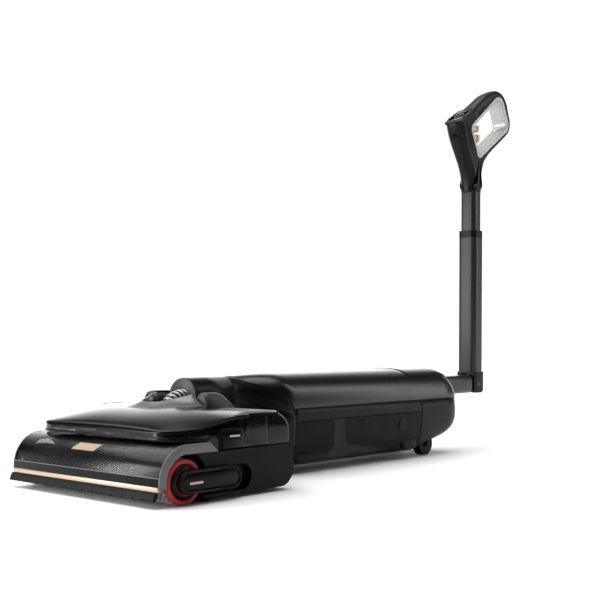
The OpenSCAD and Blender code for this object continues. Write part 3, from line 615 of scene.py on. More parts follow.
hood_plate()
for side in (1, -1):
    for x in (116.5, 120.5):
        rib = np.concatenate([arc_points(HC, RZ, 38.0, 165, 92, 24), arc_points(HC, RZ, 34.0, 92, 165, 24)])
        slab(f"hood_rib_{'right' if side > 0 else 'left'}_{int(x)}", rib,
             *sorted((side * x, side * (x + 1.2))), "hood",
             plate_gray, edge=0.2, slot="plastic_light")
print("hood: shell, bands, strips, bumper, plate and ribs")

# %% [markdown]
# ## Rear squeegee
# A rubber blade trails behind the roller and gathers the water. It is one profile carried across, with
# a ripple on its back face, so its points are moved on the grid rather than cut as grooves.

# %% Rear squeegee
def squeegee():
    """A blade profile carried across with a ripple of 0.35 mm every 4 mm on its back face."""
    pr = np.array([[29.0, 4.4], [32.0, 0.05], [38.5, 0.05], [40.2, 4.4], [40.2, 11.6], [23.0, 11.6]])
    x = np.linspace(-130, 130, 521)
    rip = 0.35 * (np.sin(tau * x / 4) > 0)[:, None] * np.array([0, 0, 0, 1, 1, 0])[None, :]
    y = pr[None, :, 0] - rip
    g = np.stack([np.broadcast_to(x[:, None], y.shape), y, np.broadcast_to(pr[None, :, 1], y.shape)], -1)
    g[:, 4:, 0] = np.clip(g[:, 4:, 0], -122, 122)
    return skin("rear_squeegee_blade", g, "head", rubber, stands_for="rear_squeegee", slot="rubber_black")

squeegee()
print("squeegee: 1")

# %% [markdown]
# ## Recovery tank
# The tank is a smoked box on top of the head, cut away at the back for the neck. Its walls lean in
# towards the top, most of all at the rear. A curtain works here: one plan outline, repeated at rising
# heights, with each row drawn in a little more. The lid on it is a crowned plate, high in the middle.

# %% Tank walls
def tank_plan():
    """The tank seen from above: a rounded box with a bay for the neck."""
    p = [(131.5, -8), (131.5, HEAD_END), (52, HEAD_END), (52, 72), (-52, 72), (-52, HEAD_END),
         (-131.5, HEAD_END),
         (-131.5, -8)]
    return fillet(p, [38, 7, 5, 8, 8, 5, 7, 38], 12)

def densify(p, step):
    """Adds points so that no edge of a closed outline is longer than step."""
    q = np.roll(p, -1, 0)
    n = np.maximum(np.ceil(np.linalg.norm(q - p, axis=1) / step).astype(int), 1)
    t = np.concatenate([np.arange(k) / k for k in n])[:, None]
    i = np.repeat(np.arange(len(p)), n)
    return p[i] * (1 - t) + q[i] * t

def smooth(t):
    """3t^2 - 2t^3, clipped to 0..1."""
    t = np.clip(t, 0, 1)
    return t * t * (3 - 2 * t)

plan = densify(tank_plan(), 4)

def tank_low_z(y):
    """The floor's height: 13 mm above the seam in front, down a slope from y 34 to 50, then on the seam."""
    return SEAM + 0.4 + 13 * (1 - smooth((y - 32) / 18))

def lid_low_z(y):
    """The lid's lower edge: 75 mm at the front corners, rising to 89 mm beside the neck."""
    return 74.6 + 14.6 * smooth((y + 24) / 125)

def tank_walls():
    """Rows at shares t of the height; x is drawn in by 2.6t^4 mm and the rear by up to 17 mm near t = 1."""
    t = np.array([0, .02, .2, .4, .55, .68, .8, .88, .94, .98, 1.0])
    x, y = plan[None, :, 0], plan[None, :, 1]
    zl = tank_low_z(y)
    zh = np.where(y < 100, lid_low_z(y) - 0.3, 92.0)
    tt = t[:, None]
    pull = smooth((y - 120) / 50) * 17 * np.clip((tt - 0.45) / 0.55, 0, 1) ** 2.4
    gx = x - np.sign(x) * (2.6 * tt ** 4) * (np.abs(x) > 60)
    gy = y - pull
    g = np.stack(np.broadcast_arrays(gx, gy, zl + (zh - zl) * tt), -1)
    g[0, :, :2] = inset(plan, 1.0)
    return skin("tank_walls", g, "tank", smoked_tank, stands_for="dirty_tank", slot="smoked_clear", sharp=38)

tank_walls()

# %% [markdown]
# ## Inside the recovery tank
# Partitions, baffles and dark blocks show through the smoked wall. They are plain boards, so each is
# an outline given a thickness. They are only looks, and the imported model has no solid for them.

# %% What shows inside the tank
for side in (1, -1):
    tag = "right" if side > 0 else "left"
    for k, y in enumerate((104, 137, 149)):
        soften(slab(f"tank_partition_{tag}_{k}",
                    [[y, 57.5], [y + 1.6, 57.5], [y + 0.6, 88.5], [y - 1.0, 88.5]],
                    *sorted((side * 60, side * 126)), "tank", plate_gray if k == 1 else charcoal, edge=0.2,
                    slot="plastic_charcoal"), 0.2)
    slab(f"tank_baffle_{tag}", fillet([[92, 78], [150, 80], [148, 88], [92, 87]], 3),
         *sorted((side * 84, side * 124)),
         "tank", charcoal, edge=1.5, slot="plastic_charcoal")
    slab(f"tank_front_block_{tag}", fillet([[-4, 71], [34, 71], [48, 60], [52, 60], [52, 84], [-4, 78]], 2),
         *sorted((side * 66, side * 104)), "tank", satin_black, edge=1.0, slot="plastic_black")

def front_lip():
    """A small bead that follows the plan round the front: a five-sided profile at each plan point."""
    n = len(plan)
    order = np.roll(np.arange(n), n // 2)
    path = plan[order][plan[order][:, 1] < 44]
    tangent = np.gradient(path, axis=0)
    tangent /= np.linalg.norm(tangent, axis=1)[:, None]
    out = np.stack([tangent[:, 1], -tangent[:, 0]], 1)
    out *= np.sign((out * (path - [0, 80])).sum(1).mean())
    prof = [(0.5, 67.6), (0.7, 69.0), (0.4, 70.4), (-1.6, 70.6), (-1.6, 67.2)]
    g = np.array([np.column_stack([path + out * d, np.full(len(path), z)]) for d, z in prof])
    return skin("tank_front_lip", g, "tank", gloss_black, ring=False, loop=True, slot="plastic_gloss")

front_lip()
slab("tank_front_inner", [[6, 71], [10, 71], [10, 76], [6, 76]], -92, -26, "tank", plate_gray, edge=0.6,
     slot="plastic_light")
slab("tank_front_inner_dark", [[4, 71], [10, 71], [10, 76], [4, 76]], -20, 104, "tank", satin_black,
     edge=0.6,
     slot="plastic_black")
print("tank: walls and inner parts")

# %% [markdown]
# ## Tank lid
# The lid is a glossy plate that swells up from its rim. Rings drawn in from the outline make the rim,
# and a grid inside them makes the crown, because rings alone would pinch in the middle.

# %% Crowned lid
def lid_plan():
    """The lid seen from above: the tank's front part, as far back as y 104, with the bay."""
    p = [(131.2, -8), (131.2, 104), (52.5, 104), (52.5, 72.5), (-52.5, 72.5), (-52.5, 104), (-131.2, 104),
         (-131.2, -8)]
    return densify(fillet(p, [38, 3, 2, 6, 6, 2, 3, 38], 12), 5)

def crown(x, y):
    """Height of the lid's face: its rim height, plus 13 mm rising with the square root of the distance
    in from the front, times a cap that falls off towards the sides."""
    rim = lid_low_z(y) + 2.4
    rise = np.clip((y + 8) / 76, 0, 1) ** 0.58
    across = 1 - np.clip(np.abs(x) / 131.2, 0, 1) ** 3.0
    side_fall = 92.5 - rim
    return rim + np.maximum((99.5 - rim) * rise * across, side_fall * smooth((y + 8) / 150) * across ** 0.4)

def lid():
    """Rings of the plan drawn in step by step; each ring's height is read off the crown."""
    p = lid_plan()
    rows = []
    for d, h in ((0.9, 0), (0.0, 0), (0.0, 1.4)):
        q = inset(p, d)
        rows.append(np.column_stack([q, lid_low_z(q[:, 1]) + h]))
    for d in (0.5, 1.4, 2.8, 4.6, 7.0, 9.5):
        q = inset(p, d)
        rows.append(np.column_stack([q, crown(q[:, 0], q[:, 1]) - 1.0 * (1 - min(d / 2.8, 1)) ** 2]))
    g = np.array(rows)
    n = g.shape[1]
    faces = grid_faces(len(rows), n, False, True)
    faces += [list(range(n))[::-1]]
    verts = g.reshape(-1, 3)
    ob = mesh_piece("lid_skirt", verts, faces, "lid", gloss_black, stands_for="tank_lid",
                    slot="plastic_gloss")
    return ob, rows[-1]

def lid_face(rim):
    """The lid's middle: a grid in x and y, kept where it lies inside the last ring, with its height off
    the crown; the triangulation joins it to the ring."""
    xs, ys = np.meshgrid(np.arange(-126, 127, 4.5), np.arange(-4, 104, 4.5), indexing="ij")
    pts = np.stack([xs.ravel(), ys.ravel()], 1)
    n = len(rim)
    a, b = rim[:, :2], np.roll(rim[:, :2], -1, 0)
    cross = ((a[None, :, 1] > pts[:, None, 1]) != (b[None, :, 1] > pts[:, None, 1])) & (
        pts[:, None, 0] < (b[None, :, 0] - a[None, :, 0]) * (pts[:, None, 1] - a[None, :, 1])
        / (b[None, :, 1] - a[None, :, 1] + 1e-12) + a[None, :, 0])
    inside = cross.sum(1) % 2 == 1
    near = np.sqrt(((pts[:, None] - a[None]) ** 2).sum(-1)).min(1) > 2.0
    keep = pts[inside & near]
    allp = np.concatenate([rim[:, :2], keep])
    edges = [(i, (i + 1) % n) for i in range(n)]
    out = delaunay_2d_cdt([Vector(p) for p in allp.tolist()], edges, [list(range(n))], 1, 1e-5)
    v2 = np.array([list(v) for v in out[0]])
    z = crown(v2[:, 0], v2[:, 1])
    verts = np.column_stack([v2, z])
    faces = out[2]
    flat = np.array([verts[f[:3]] for f in faces])
    up = np.cross(flat[:, 1] - flat[:, 0], flat[:, 2] - flat[:, 0])[:, 2] > 0
    faces = [f if ok else f[::-1] for f, ok in zip(faces, up)]
    return mesh_piece("lid_face", verts, faces, "lid", gloss_black, slot="plastic_gloss")

skirt, last_ring = lid()
lid_face(last_ring)
print("lid: skirt and crowned face")

# %% [markdown]
# ## Cowl, pillars and hose
# In front of the neck the lid swells into a cowl, open on top, where the air hose comes up from the
# head and bends back into the neck. The cowl is a skirt between two U-shaped curves, the lip and a
# wider one lying on the lid, with the height falling along a hollow curve between them.

# %% Cowl round the hose
def cowl():
    """Two U-shaped curves open towards the neck, the lip and the base on the lid. Between them the
    height falls, three quarters of it as the 1.8th power of the share left and the rest evenly, and the
    lip is rolled over into the opening."""
    f = np.linspace(0, pi, 121)
    c, s, flat = np.cos(f), np.sin(f), np.zeros(len(f))
    y = 104.5 - 44.0 * s ** 0.85
    back = smooth((y - 76) / 26)
    lip = np.stack([(25 + 9 * back) * np.sign(c) * np.abs(c) ** 0.6, y,
                    104.2 + 8.6 * ((y - 60.5) / 44.0) ** 1.25], 1)
    yb = 104.5 - 74 * s ** 0.85
    base = np.stack([60.0 * np.sign(c) * np.abs(c) ** 0.6, yb, flat], 1)
    base[:, 2] = crown(base[:, 0], np.minimum(base[:, 1], 72)) - 1.0
    inward = lip * [0, 1, 1]
    rows = []
    for k, dz in ((0.80, -15.0), (0.86, -4.0), (0.91, -1.0), (0.96, -0.1), (1.0, 0.0)):
        rows.append(inward + (lip * [1, 0, 0]) * k + [0, 0, dz] + np.stack([flat, (1 - k) * 14 * s, flat],
                                                                           1))
    for sh in (0.03, 0.08, 0.15, 0.24, 0.35, 0.48, 0.62, 0.76, 0.88, 0.96, 1.0):
        p = lip * (1 - sh) + base * sh
        p[:, 2] = base[:, 2] + (lip[:, 2] - base[:, 2]) * ((1 - sh) ** 1.8 * 0.75 + (1 - sh) * 0.25)
        rows.append(p)
    ob = skin("hose_cowl", np.array(rows), "lid", cowl_gray, ring=False, stands_for="lid_nose",
              slot="plastic_gray", sharp=50)
    return face_up(ob)

def face_up(ob):
    """Turns an open sheet over if most of its area faces down."""
    total = sum(p.normal.z * p.area for p in ob.data.polygons)
    if total < 0:
        ob.data.flip_normals()
    return ob

ob = cowl()
m = ob.modifiers.new("wall", "SOLIDIFY")
m.thickness, m.offset = 0.0012, -1

# %% [markdown]
# ## Air hose
# The hose is one tube swept along a straight and a quarter turn, with its
# radius rising and falling, from the cowl into the neck.

# %% Corrugated air hose
def air_hose():
    """A tube along an arc from the cowl to the neck. Its radius swings by 2.4 mm along its length, one
    ring every 5.2 mm, as a rounded crest and a narrow groove."""
    hr = 12.0
    y0, bend = float(corners("air_hose")[0][1]) + 12.5, 33.5
    straight = 22.0
    n = 300
    length = straight + bend * pi / 2
    s = np.linspace(0, length, n)
    over = np.clip(s - straight, 0, None) / bend
    y = y0 + bend * (1 - np.cos(over))
    z = NECK_Z - bend + bend * np.sin(over) - np.clip(straight - s, 0, None)
    ty, tz = np.where(over > 0, np.sin(over), 0), np.where(over > 0, np.cos(over), 1)
    wave = (0.5 + 0.5 * np.cos(tau * s / 5.2)) ** 0.6
    r = hr - 2.0 + 2.4 * wave
    a = np.linspace(0, tau, 72, endpoint=False)
    nx, ny, nz = np.cos(a)[None, :], -tz[:, None] * np.sin(a)[None, :], ty[:, None] * np.sin(a)[None, :]
    g = np.stack([r[:, None] * nx, y[:, None] + r[:, None] * ny, z[:, None] + r[:, None] * nz], -1)
    ob = skin("air_hose_rings", g, None, hose_silver_groove_shade, stands_for="air_hose", slot="hose_silver", sharp=60)
    to_m([0, y0, 72]).tolist()
    to_m([0, 121, NECK_Z]).tolist()
    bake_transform(ob)
    at = ob.data.attributes.new("crest", "FLOAT", "POINT")
    at.data.foreach_set("value", np.repeat(wave, 72).astype(np.float32))
    return ob

# silver hose with painted shade: its colour is near black in each groove and silver on each crest
hose_silver_groove_shade = finish("polyurethane hose silver, painted groove shade", "#a5a5a6", 0.26, 0.5, 0.05, 0.05, "#8d8d8e",
                       0.4, Metallic=0.4)
t = hose_silver_groove_shade.node_tree
# painted shade: the crest share turns the base colour near black down in each groove, where shade falls
crest = add(t, "ShaderNodeAttribute", attribute_name="crest")
edge = add(t, "ShaderNodeMapRange", [(crest.outputs["Fac"], "Value")])
edge.inputs["From Min"].default_value, edge.inputs["From Max"].default_value = 0.45, 0.7
shade = add(t, "ShaderNodeMix", [(edge.outputs["Result"], 0)], data_type="RGBA", blend_type="MIX")
shade.inputs[6].default_value = linear("#0c0c0c")
base_link = [l for l in t.links if l.to_socket.name == "Base Color"][0]
t.links.new(base_link.from_socket, shade.inputs[7])
t.links.new(shade.outputs[2], base_link.to_socket)
air_hose()

# %% [markdown]
# ## Pillars beside the hose
# Two gray arms stand on the head beside the hose and hold the neck's tilt pins. Each is arched across
# and falls away to the rear, so it is a row of arched cross-sections, one for each place along it.

# %% Neck pillars
def pillar(side):
    """Arched cross-sections in x and z, one for each y: a superellipse 11 to 25 mm wide whose top
    follows the pillar's outline."""
    y = np.array([105, 105.4, 107, 111, 116, 124, 132, 138, 145, 152, 159, 164, 165.5])
    top = np.array([108, 111.5, 113.4, 114.2, 114.4, 114.3, 113.4, 110.5, 106, 101, 95.8, 91, 86])
    half = np.array([9.5, 11, 12, 12.4, 12.4, 12.2, 12, 11.6, 11, 10, 8.5, 5.5, 3])
    t = np.linspace(-pi / 2, 3 * pi / 2, 48, endpoint=False)
    c, s = np.cos(t), np.sin(t)
    x = 47.5 + 5.2 * (1 - (s + 1) / 2) ** 1.5 + half[:, None] * np.sign(c) * np.abs(c) ** 0.8
    zc, zh = (top[:, None] + 66) / 2, (top[:, None] - 66) / 2
    z = zc + zh * np.sign(s) * np.abs(s) ** 0.7
    g = np.stack([side * np.clip(x, 36.6, 66), np.broadcast_to(y[:, None], x.shape), z], -1)
    return skin(f"neck_pillar_{'right' if side > 0 else 'left'}", g, "head", neck_gray, slot="plastic_gray",
                sharp=50)

for side in (1, -1):
    pillar(side)
print("cowl, two pillars and the hose")

# %% [markdown]
# ## Tank grips and latches
# Flat plates over the lid lift the tank, and a sprung button on each side lets it go. The plates are
# outlines drawn in ring by ring, which rolls their edges, and the buttons are slabs with a rolled rim.

# %% Tank grips and latches
def tank_grip(side):
    """A thin plate, rounded at its corners and rolled at its edge, with its rear drooping by up to 2.2 mm."""
    tag = "right" if side > 0 else "left"
    p = densify(fillet([(62, 107.5), (128, 107.5), (128, 161), (62, 161)], [1, 1, 16, 14], 10), 4)
    rows = []
    for d, h in ((1.2, 0), (0.3, 0.4), (0, 1.2), (0.3, 2.2), (1.2, 2.8), (4, 3.0)):
        q = inset(p, d)
        rows.append(np.column_stack([side * q[:, 0], q[:, 1],
                                     93.2 + h - 2.2 * smooth((q[:, 1] - 120) / 45) ** 1.5]))
    return skin(f"tank_grip_plate_{tag}", np.array(rows), f"tank_grip_{tag}", plate_gray,
                stands_for=f"tank_grip_{tag}", slot="plastic_light")

def lid_flank_plate(side):
    """The same plate's front half, fixed to the lid: a strip that narrows forwards over the lid's edge."""
    tag = "right" if side > 0 else "left"
    p = densify(fillet([(112, 78), (127.5, 86), (128, 106.6), (74, 106.6), (74, 101)], [3, 8, 0.5, 0.5, 6],
                       8), 4)
    rows = []
    for d, h in ((1.0, -3.0), (0.2, 0.4), (0, 1.2), (0.3, 2.2), (1.2, 2.8), (3.5, 3.0)):
        q = inset(p, d)
        lift = 93.2 - 5.0 * smooth((104 - q[:, 1]) / 34)
        rows.append(np.column_stack([side * q[:, 0], q[:, 1], lift + h]))
    return skin(f"lid_flank_plate_{tag}", np.array(rows), "lid", plate_gray, slot="plastic_light")

def tank_latch(side):
    tag = "right" if side > 0 else "left"
    face = fillet([(56.8, 56.8), (88.0, 56.8), (88.0, 76.0), (56.8, 76.0)], [0.6, 0.6, 3.5, 3.5], 6)
    slab(f"latch_button_{tag}", face, *sorted((side * 131.0, side * 135.0)), f"tank_latch_{tag}",
         gloss_black,
         edge=0.7, stands_for=f"tank_latch_{tag}", slot="plastic_gloss")
    slab(f"latch_dash_{tag}", stadium(68.5, 82.5, 70.2, 1.1), *sorted((side * 134.4, side * 135.3)),
         f"tank_latch_{tag}", champagne, edge=0.3, slot="accent_beige")
    frame_out = fillet([(54.2, 55.6), (91, 55.6), (91, 79), (54.2, 79)], [0.5, 0.5, 5, 5], 6)
    slab(f"latch_frame_{tag}", frame_out, *sorted((side * 126.0, side * 132.8)), "tank", satin_black,
         edge=0.6,
         slot="plastic_black")

for side in (1, -1):
    tank_grip(side)
    lid_flank_plate(side)
    tank_latch(side)
print("tank grips and latches: 2 and 2")

# %% [markdown]
# ## Neck and body
# The body is one long tube that starts as a plain round neck, swells through a slanted shoulder, and
# runs on as a loaf: domed above the belt line, and flat-sided with rounded corners below. One function
# gives the cross-section at any point along it, so that the lower shell, the top shell and the water
# tank's window all lie on the same surface.

# %% Body cross-section
def swell(y):
    """0 at the neck, 1 where the shoulder is full: a smooth step from y 190 to 258."""
    return smooth((y - 190) / 68)

def section(y, turn, grow=0.0):
    """Points of the section at y. turn runs 0 at the right belt over the top to pi, and on under the
    belly to 2 pi. The neck is a circle; the full body is a dome above and a rounded box below."""
    y, turn = np.broadcast_arrays(np.asarray(y, float), np.asarray(turn, float))
    c, s = np.cos(turn), np.sin(turn)
    end = np.clip((y - 618) / 37.0, 0, 1)
    end = 1 - np.sqrt(np.clip(1 - end ** 2.2, 0, 1))
    half = BW - 9 * end
    top = BODY_TOP - BELT - 30 * end ** 1.4
    up_x, up_z = half * np.sign(c) * np.abs(c) ** 0.70, BELT + top * np.abs(s) ** 0.78
    tail = np.clip((y - 552) / 103.0, 0, 1)
    depth = 80 - 24 * tail - 10 * end
    low_x = half * np.sign(c) * np.abs(c) ** 0.42
    low_z = BELT - depth * np.abs(s) ** 0.52
    full_x, full_z = np.where(s >= 0, up_x, low_x), np.where(s >= 0, up_z, low_z)
    ring_x, ring_z = 25.3 * c, NECK_Z + 25.3 * s
    full_y = y - 0.13 * np.clip(full_z - 45, 0, None) * smooth((y - 540) / 90)
    k = swell(y)
    k_low = smooth((y - 186) / 70)
    kk = np.where(s >= 0, k, k_low)
    return np.stack([ring_x + (full_x - ring_x) * kk + grow * c, full_y,
                     ring_z + (full_z - ring_z) * kk + grow * s], -1)

def spread(y, turn):
    """Every y with every turn: two arrays with a row for each y and a column for each turn."""
    return np.meshgrid(y, turn, indexing="ij")

def patch(name, y, turn, body, mat, wall=1.6, grow=0.0, closed_tail=False, **kw):
    """A thin sheet on the body's surface: grid rows along y, columns round the section, given a wall.
    A closed tail adds rows that shrink to the middle of the end."""
    g = section(y, turn, grow)
    if closed_tail:
        last, mid = g[-1], np.array([0, g[-1, :, 1].mean(), BELT])
        shares = np.array([0.985, 0.955, 0.9, 0.8, 0.6, 0.35, 0.02])[:, None, None]
        g = np.concatenate([g, mid + (last - mid) * shares * [1, 1, 1] + (1 - shares ** 4) * [0, 0.9, 0]])
    ob = skin(name, g, body, mat, ring=False, **kw)
    normal_check = ob.data.polygons[len(ob.data.polygons) // 2]
    mid = np.array(normal_check.center) * 1000 - (0, AXIS, 0)
    outwards = np.dot(np.array(normal_check.normal), mid - np.array([0, mid[1], 90]))
    if outwards < 0:
        ob.data.flip_normals()
    m = ob.modifiers.new("wall", "SOLIDIFY")
    m.thickness, m.offset = wall / 1000, -1
    return ob

# %% [markdown]
# ## Neck
# The body starts as a round sleeve with a gray face that the hose runs into. Both are profiles turned
# about the neck's own line, the sleeve open at its ends and the face closed on itself.

# %% Neck tube and its rim
def neck():
    """A circle swept from the rim to the shoulder, with a rolled lip where the hose goes in."""
    pr = np.array([(122.0, 24.2), (120.4, 24.8), (120.6, 25.4), (121.4, 25.5), (124.0, 25.5), (150, 25.5),
                   (186, 25.4)])
    a = np.linspace(0, tau, 96, endpoint=False)
    g = np.stack([pr[:, 1:] * np.cos(a), np.repeat(pr[:, :1], 96, 1), NECK_Z + pr[:, 1:] * np.sin(a)], -1)
    return skin("neck_sleeve", g, "body", satin_black, caps=(False, False), stands_for="neck_tube",
                slot="plastic_black", sharp=40)

ob = neck()
sample = ob.data.polygons[len(ob.data.polygons) - 20]
if sample.normal.dot(sample.center - Vector((0, sample.center.y, NECK_Z / 1000))) < 0:
    ob.data.flip_normals()
m = ob.modifiers.new("wall", "SOLIDIFY")
m.thickness, m.offset = 0.0016, -1

def neck_face():
    """The flat disc that closes the neck, with a hole for the hose: a profile turned about the neck."""
    pr = np.array([(124.0, 12.9), (118.2, 12.9), (117.7, 13.4), (117.6, 14.6), (118.0, 15.4), (117.8, 23.6),
                   (118.2, 24.9),
                   (119.0, 25.4), (120.2, 25.4), (120.2, 24.0), (124.0, 24.0)])
    a = np.linspace(0, tau, 96, endpoint=False)
    g = np.stack([pr[:, 1:] * np.cos(a), np.repeat(pr[:, :1], 96, 1), NECK_Z + pr[:, 1:] * np.sin(a)], -1)
    return skin("neck_face", g, "body", neck_gray, loop=True, stands_for="neck_cap", slot="plastic_gray",
                sharp=40)

neck_face()

# %% [markdown]
# ## Lower shell
# The lower moulding is seen as a shoulder, a rail along each side of the window, and the tail. They
# are patches of the one body surface, so they meet the top shell and the window without steps.

# %% Lower shell
def seam_y(turn):
    """Where the top shell starts: y 207 on top, sweeping back to y 257 at the belt."""
    s = np.clip(np.sin(turn), 0, 1)
    return 257 - 62 * smooth(s) ** 0.9

def lower_shell():
    """From the neck to the seam all the way round, then below the belt to the tail, without the window."""
    turn = np.linspace(0, pi, 70)
    t = np.linspace(0, 1, 24)[:, None]
    y0 = 183.0
    _, turns = spread(t, turn)
    patch("shoulder_top", y0 + (seam_y(turns) - 1.0 - y0) * t, turns, "body", satin_black,
          slot="plastic_black")
    low = np.linspace(-pi, 0, 90)
    y = np.linspace(y0, 262, 28)
    patch("shoulder_low", *spread(y, low), "body", satin_black, slot="plastic_black")
    closing = 655 - 45 * (1 - np.sin(np.linspace(0, pi / 2, 24)))
    y = np.unique(np.concatenate([np.linspace(547.5, 610, 16), closing]))
    patch("tail_low", *spread(y, low), "body", satin_black, stands_for="lower_shell",
               slot="plastic_black", closed_tail=True)
    band = np.linspace(-0.055, 0.0, 4)
    for tag, off in (("right", 0.0), ("left", pi)):
        turns = band if off == 0 else pi - band
        patch(f"belt_rail_{tag}", *spread(np.linspace(262, 548, 60), turns), "body", satin_black,
              slot="plastic_black")

lower_shell()

# %% [markdown]
# ## Top shell
# The top moulding starts at a slanted seam. It lies half a millimetre proud, with a rolled front edge,
# and a glossy plate and a thin champagne line are laid on it as raised patches.

# %% Top shell and rear cover
top_black = finish("ABS moulded black, lightly polished", "#09090a", 0.27, 0.45, 0.06, 0.02, "#0c0c0d", 0.3,
                   Specular_IOR_Level=0.4)
def top_shell():
    """Above the belt, from the slanted seam to the tail, laid 0.5 mm proud with a rolled front edge."""
    turn = np.linspace(0.0, pi, 110)
    t = np.concatenate([np.linspace(0, 0.03, 6)[:-1], np.linspace(0.03, 0.86, 50), 1 - 0.14 * (1 - np.sin(
        np.linspace(0, pi / 2, 30)[1:]))])[:, None]
    s = seam_y(turn)[None, :]
    y = s + (655 - s) * t
    grow = np.where(y - s < 2.4, -0.9 + 1.4 * np.sin(np.clip((y - s) / 2.4, 0, 1) * pi / 2), 0.5)
    return patch("top_cover", y, spread(t, turn)[1], "body", top_black, grow=grow, stands_for="top_shell",
                 slot="plastic_black",
                 closed_tail=True)

top_shell()

def strip_on_body(name, y0, y1, turn0, turn1, grow, mat, body="body", n=(24, 24), skew=0.0, **kw):
    """A raised patch on the top: rows from y0 to y1, columns from turn0 to turn1, slanted by skew mm."""
    t, u = np.meshgrid(np.linspace(0, 1, n[0]), np.linspace(0, 1, n[1]), indexing="ij")
    return patch(name, y0 + (y1 - y0) * t + skew * (u - 0.5), turn0 + (turn1 - turn0) * u, body, mat,
                 grow=grow, **kw)

strip_on_body("rear_cover_plate", 531, 648, pi / 2 - 0.72, pi / 2 + 0.72, 1.3, gloss_black,
              stands_for="rear_cover",
              slot="plastic_gloss", skew=0, n=(60, 30))
strip_on_body("rear_cover_line", 512, 515, pi / 2 - 0.62, pi / 2 + 0.1, 0.9, champagne, slot="accent_beige",
              skew=-16)
print("neck, shells and rear cover")

# %% [markdown]
# ## Clean-water tank
# The underside of the body is a smoked tank that drops out. Its window lies on the body's own surface;
# inside it show a dark block towards the neck, a curved float arm and the outlet valve.

# %% Window and what shows behind it
def water_tank():
    """The body's section between y 262 and 547, from just under the belt down and round the belly."""
    low = np.linspace(-pi + 0.06, -0.06, 110)
    y = np.concatenate([[262.2, 262.6], np.linspace(264, 545, 40), [546.6, 547]])
    g = section(*spread(y, low))
    rows, cols = g.shape[:2]
    faces = grid_faces(rows, cols, False, True)
    faces += [list(range(cols))[::-1], [(rows - 1) * cols + k for k in range(cols)]]
    v = g.reshape(-1, 3)
    return mesh_piece("water_tank_shell", v, outward(v, faces), "clean_tank", smoked_clear,
                      stands_for="clean_tank",
                      slot="smoked_clear", sharp=40)

water_tank()
block = fillet([[268, 80], [268, 14], [330, 14], [352, 34], [352, 80]], [4, 14, 10, 10, 4])
slab("water_tank_block", block, -54, 54, "clean_tank", satin_black, edge=4, slot="plastic_black")
for side in (1, -1):
    tag = "right" if side > 0 else "left"
    arc = np.concatenate([arc_points(455, 34, 44, 170, 60, 24), arc_points(455, 34, 40.5, 60, 170, 24)])
    slab(f"water_tank_arm_{tag}", arc, *sorted((side * 40, side * 55)), "clean_tank", charcoal, edge=0.8,
         slot="plastic_charcoal")
    slab(f"water_tank_rear_{tag}", fillet([[500, 80], [508, 14], [543, 14], [543, 80]], [3, 10, 6, 3]),
         *sorted((side * 20, side * 55)), "clean_tank", satin_black, edge=3, slot="plastic_black")

def fill_cap(side=1):
    """A turned plug: rolled rim, a flat recess and a low centre boss."""
    pr = [(57.6, 0.3), (57.6, 8.6), (60.2, 9.0), (60.9, 8.4), (61.0, 7.2), (60.2, 6.6), (60.2, 3.2),
          (60.8, 2.8), (60.9, 0.3)]
    return turned("tank_fill_cap", pr, 500, 54, "clean_tank", satin_black, side=side,
                  stands_for="clean_tank_cap",
                  slot="plastic_gloss", sharp=35)

fill_cap()
print("clean tank: shell, inner parts and cap")

# %% [markdown]
# ## Folding handle
# At the tail a stub tube leads to a fork that the mast folds in. The mast is two aluminium tubes, one
# sliding in the other, and each is a rounded-corner section carried along.

# %% Stub, fork and mast
def bar_rows(outline, stations, axis):
    """A closed outline in two axes repeated at stations (place, inset) along the third axis."""
    return np.array([np.insert(inset(outline, d), axis, s, axis=1) for s, d in stations])

def capsule(w, h, r=7.0, cx=0.0, cy=0.0):
    return fillet([(cx - w / 2, cy - h / 2), (cx + w / 2, cy - h / 2), (cx + w / 2, cy + h / 2),
                   (cx - w / 2, cy + h / 2)],
                  r, 10)

stub = capsule(34, 30, 9, 0, FOLD_Z)
skin("stub_sleeve", bar_rows(stub, [(640, 1.2), (641, 0.2), (642, 0), (757, 0), (759, 0.3), (760, 1.4)], 1),
     "body",
     anodised, stands_for="stub_tube", slot="tube_alu")
tongue = np.concatenate([arc_points(FOLD_Y, FOLD_Z, 13.5, -90, 90, 24),
                         [[756, FOLD_Z + 13.5], [756, FOLD_Z - 13.5]]])
slab("stub_tongue", tongue, -6.8, 6.8, "body", anodised, edge=0.6, slot="tube_alu")
slab("fold_button_pad", fillet([[752.2, 118.6], [760.4, 118.6], [760.4, 120.6], [752.2, 120.6]], 0.5, 3), -6,
     6,
     "fold_button", gloss_black, edge=0.8, stands_for="fold_button", slot="plastic_gloss")

def fork(side):
    """One cheek of the fork: a slab in y and z with a shallow step round its outer face."""
    out = fillet([(765.0, 88.3), (794.3, 88.3), (794.3, 124), (765.0, 124)], [6.5, 6.5, 1, 1], 8)
    tag = "right" if side > 0 else "left"
    slab(f"fork_cheek_{tag}", out, *sorted((side * 7.6, side * 17.2)), "mast", satin_black, edge=1.2,
         steps=4,
         slot="plastic_black")
    pr = [(16.6, 0.2), (17.5, 0.4), (17.6, 3.4), (17.2, 4.2), (16.6, 4.4)]
    turned(f"fold_pin_cap_{tag}", pr, FOLD_Y, FOLD_Z, "mast", anodised, n=40, side=side, slot="steel")

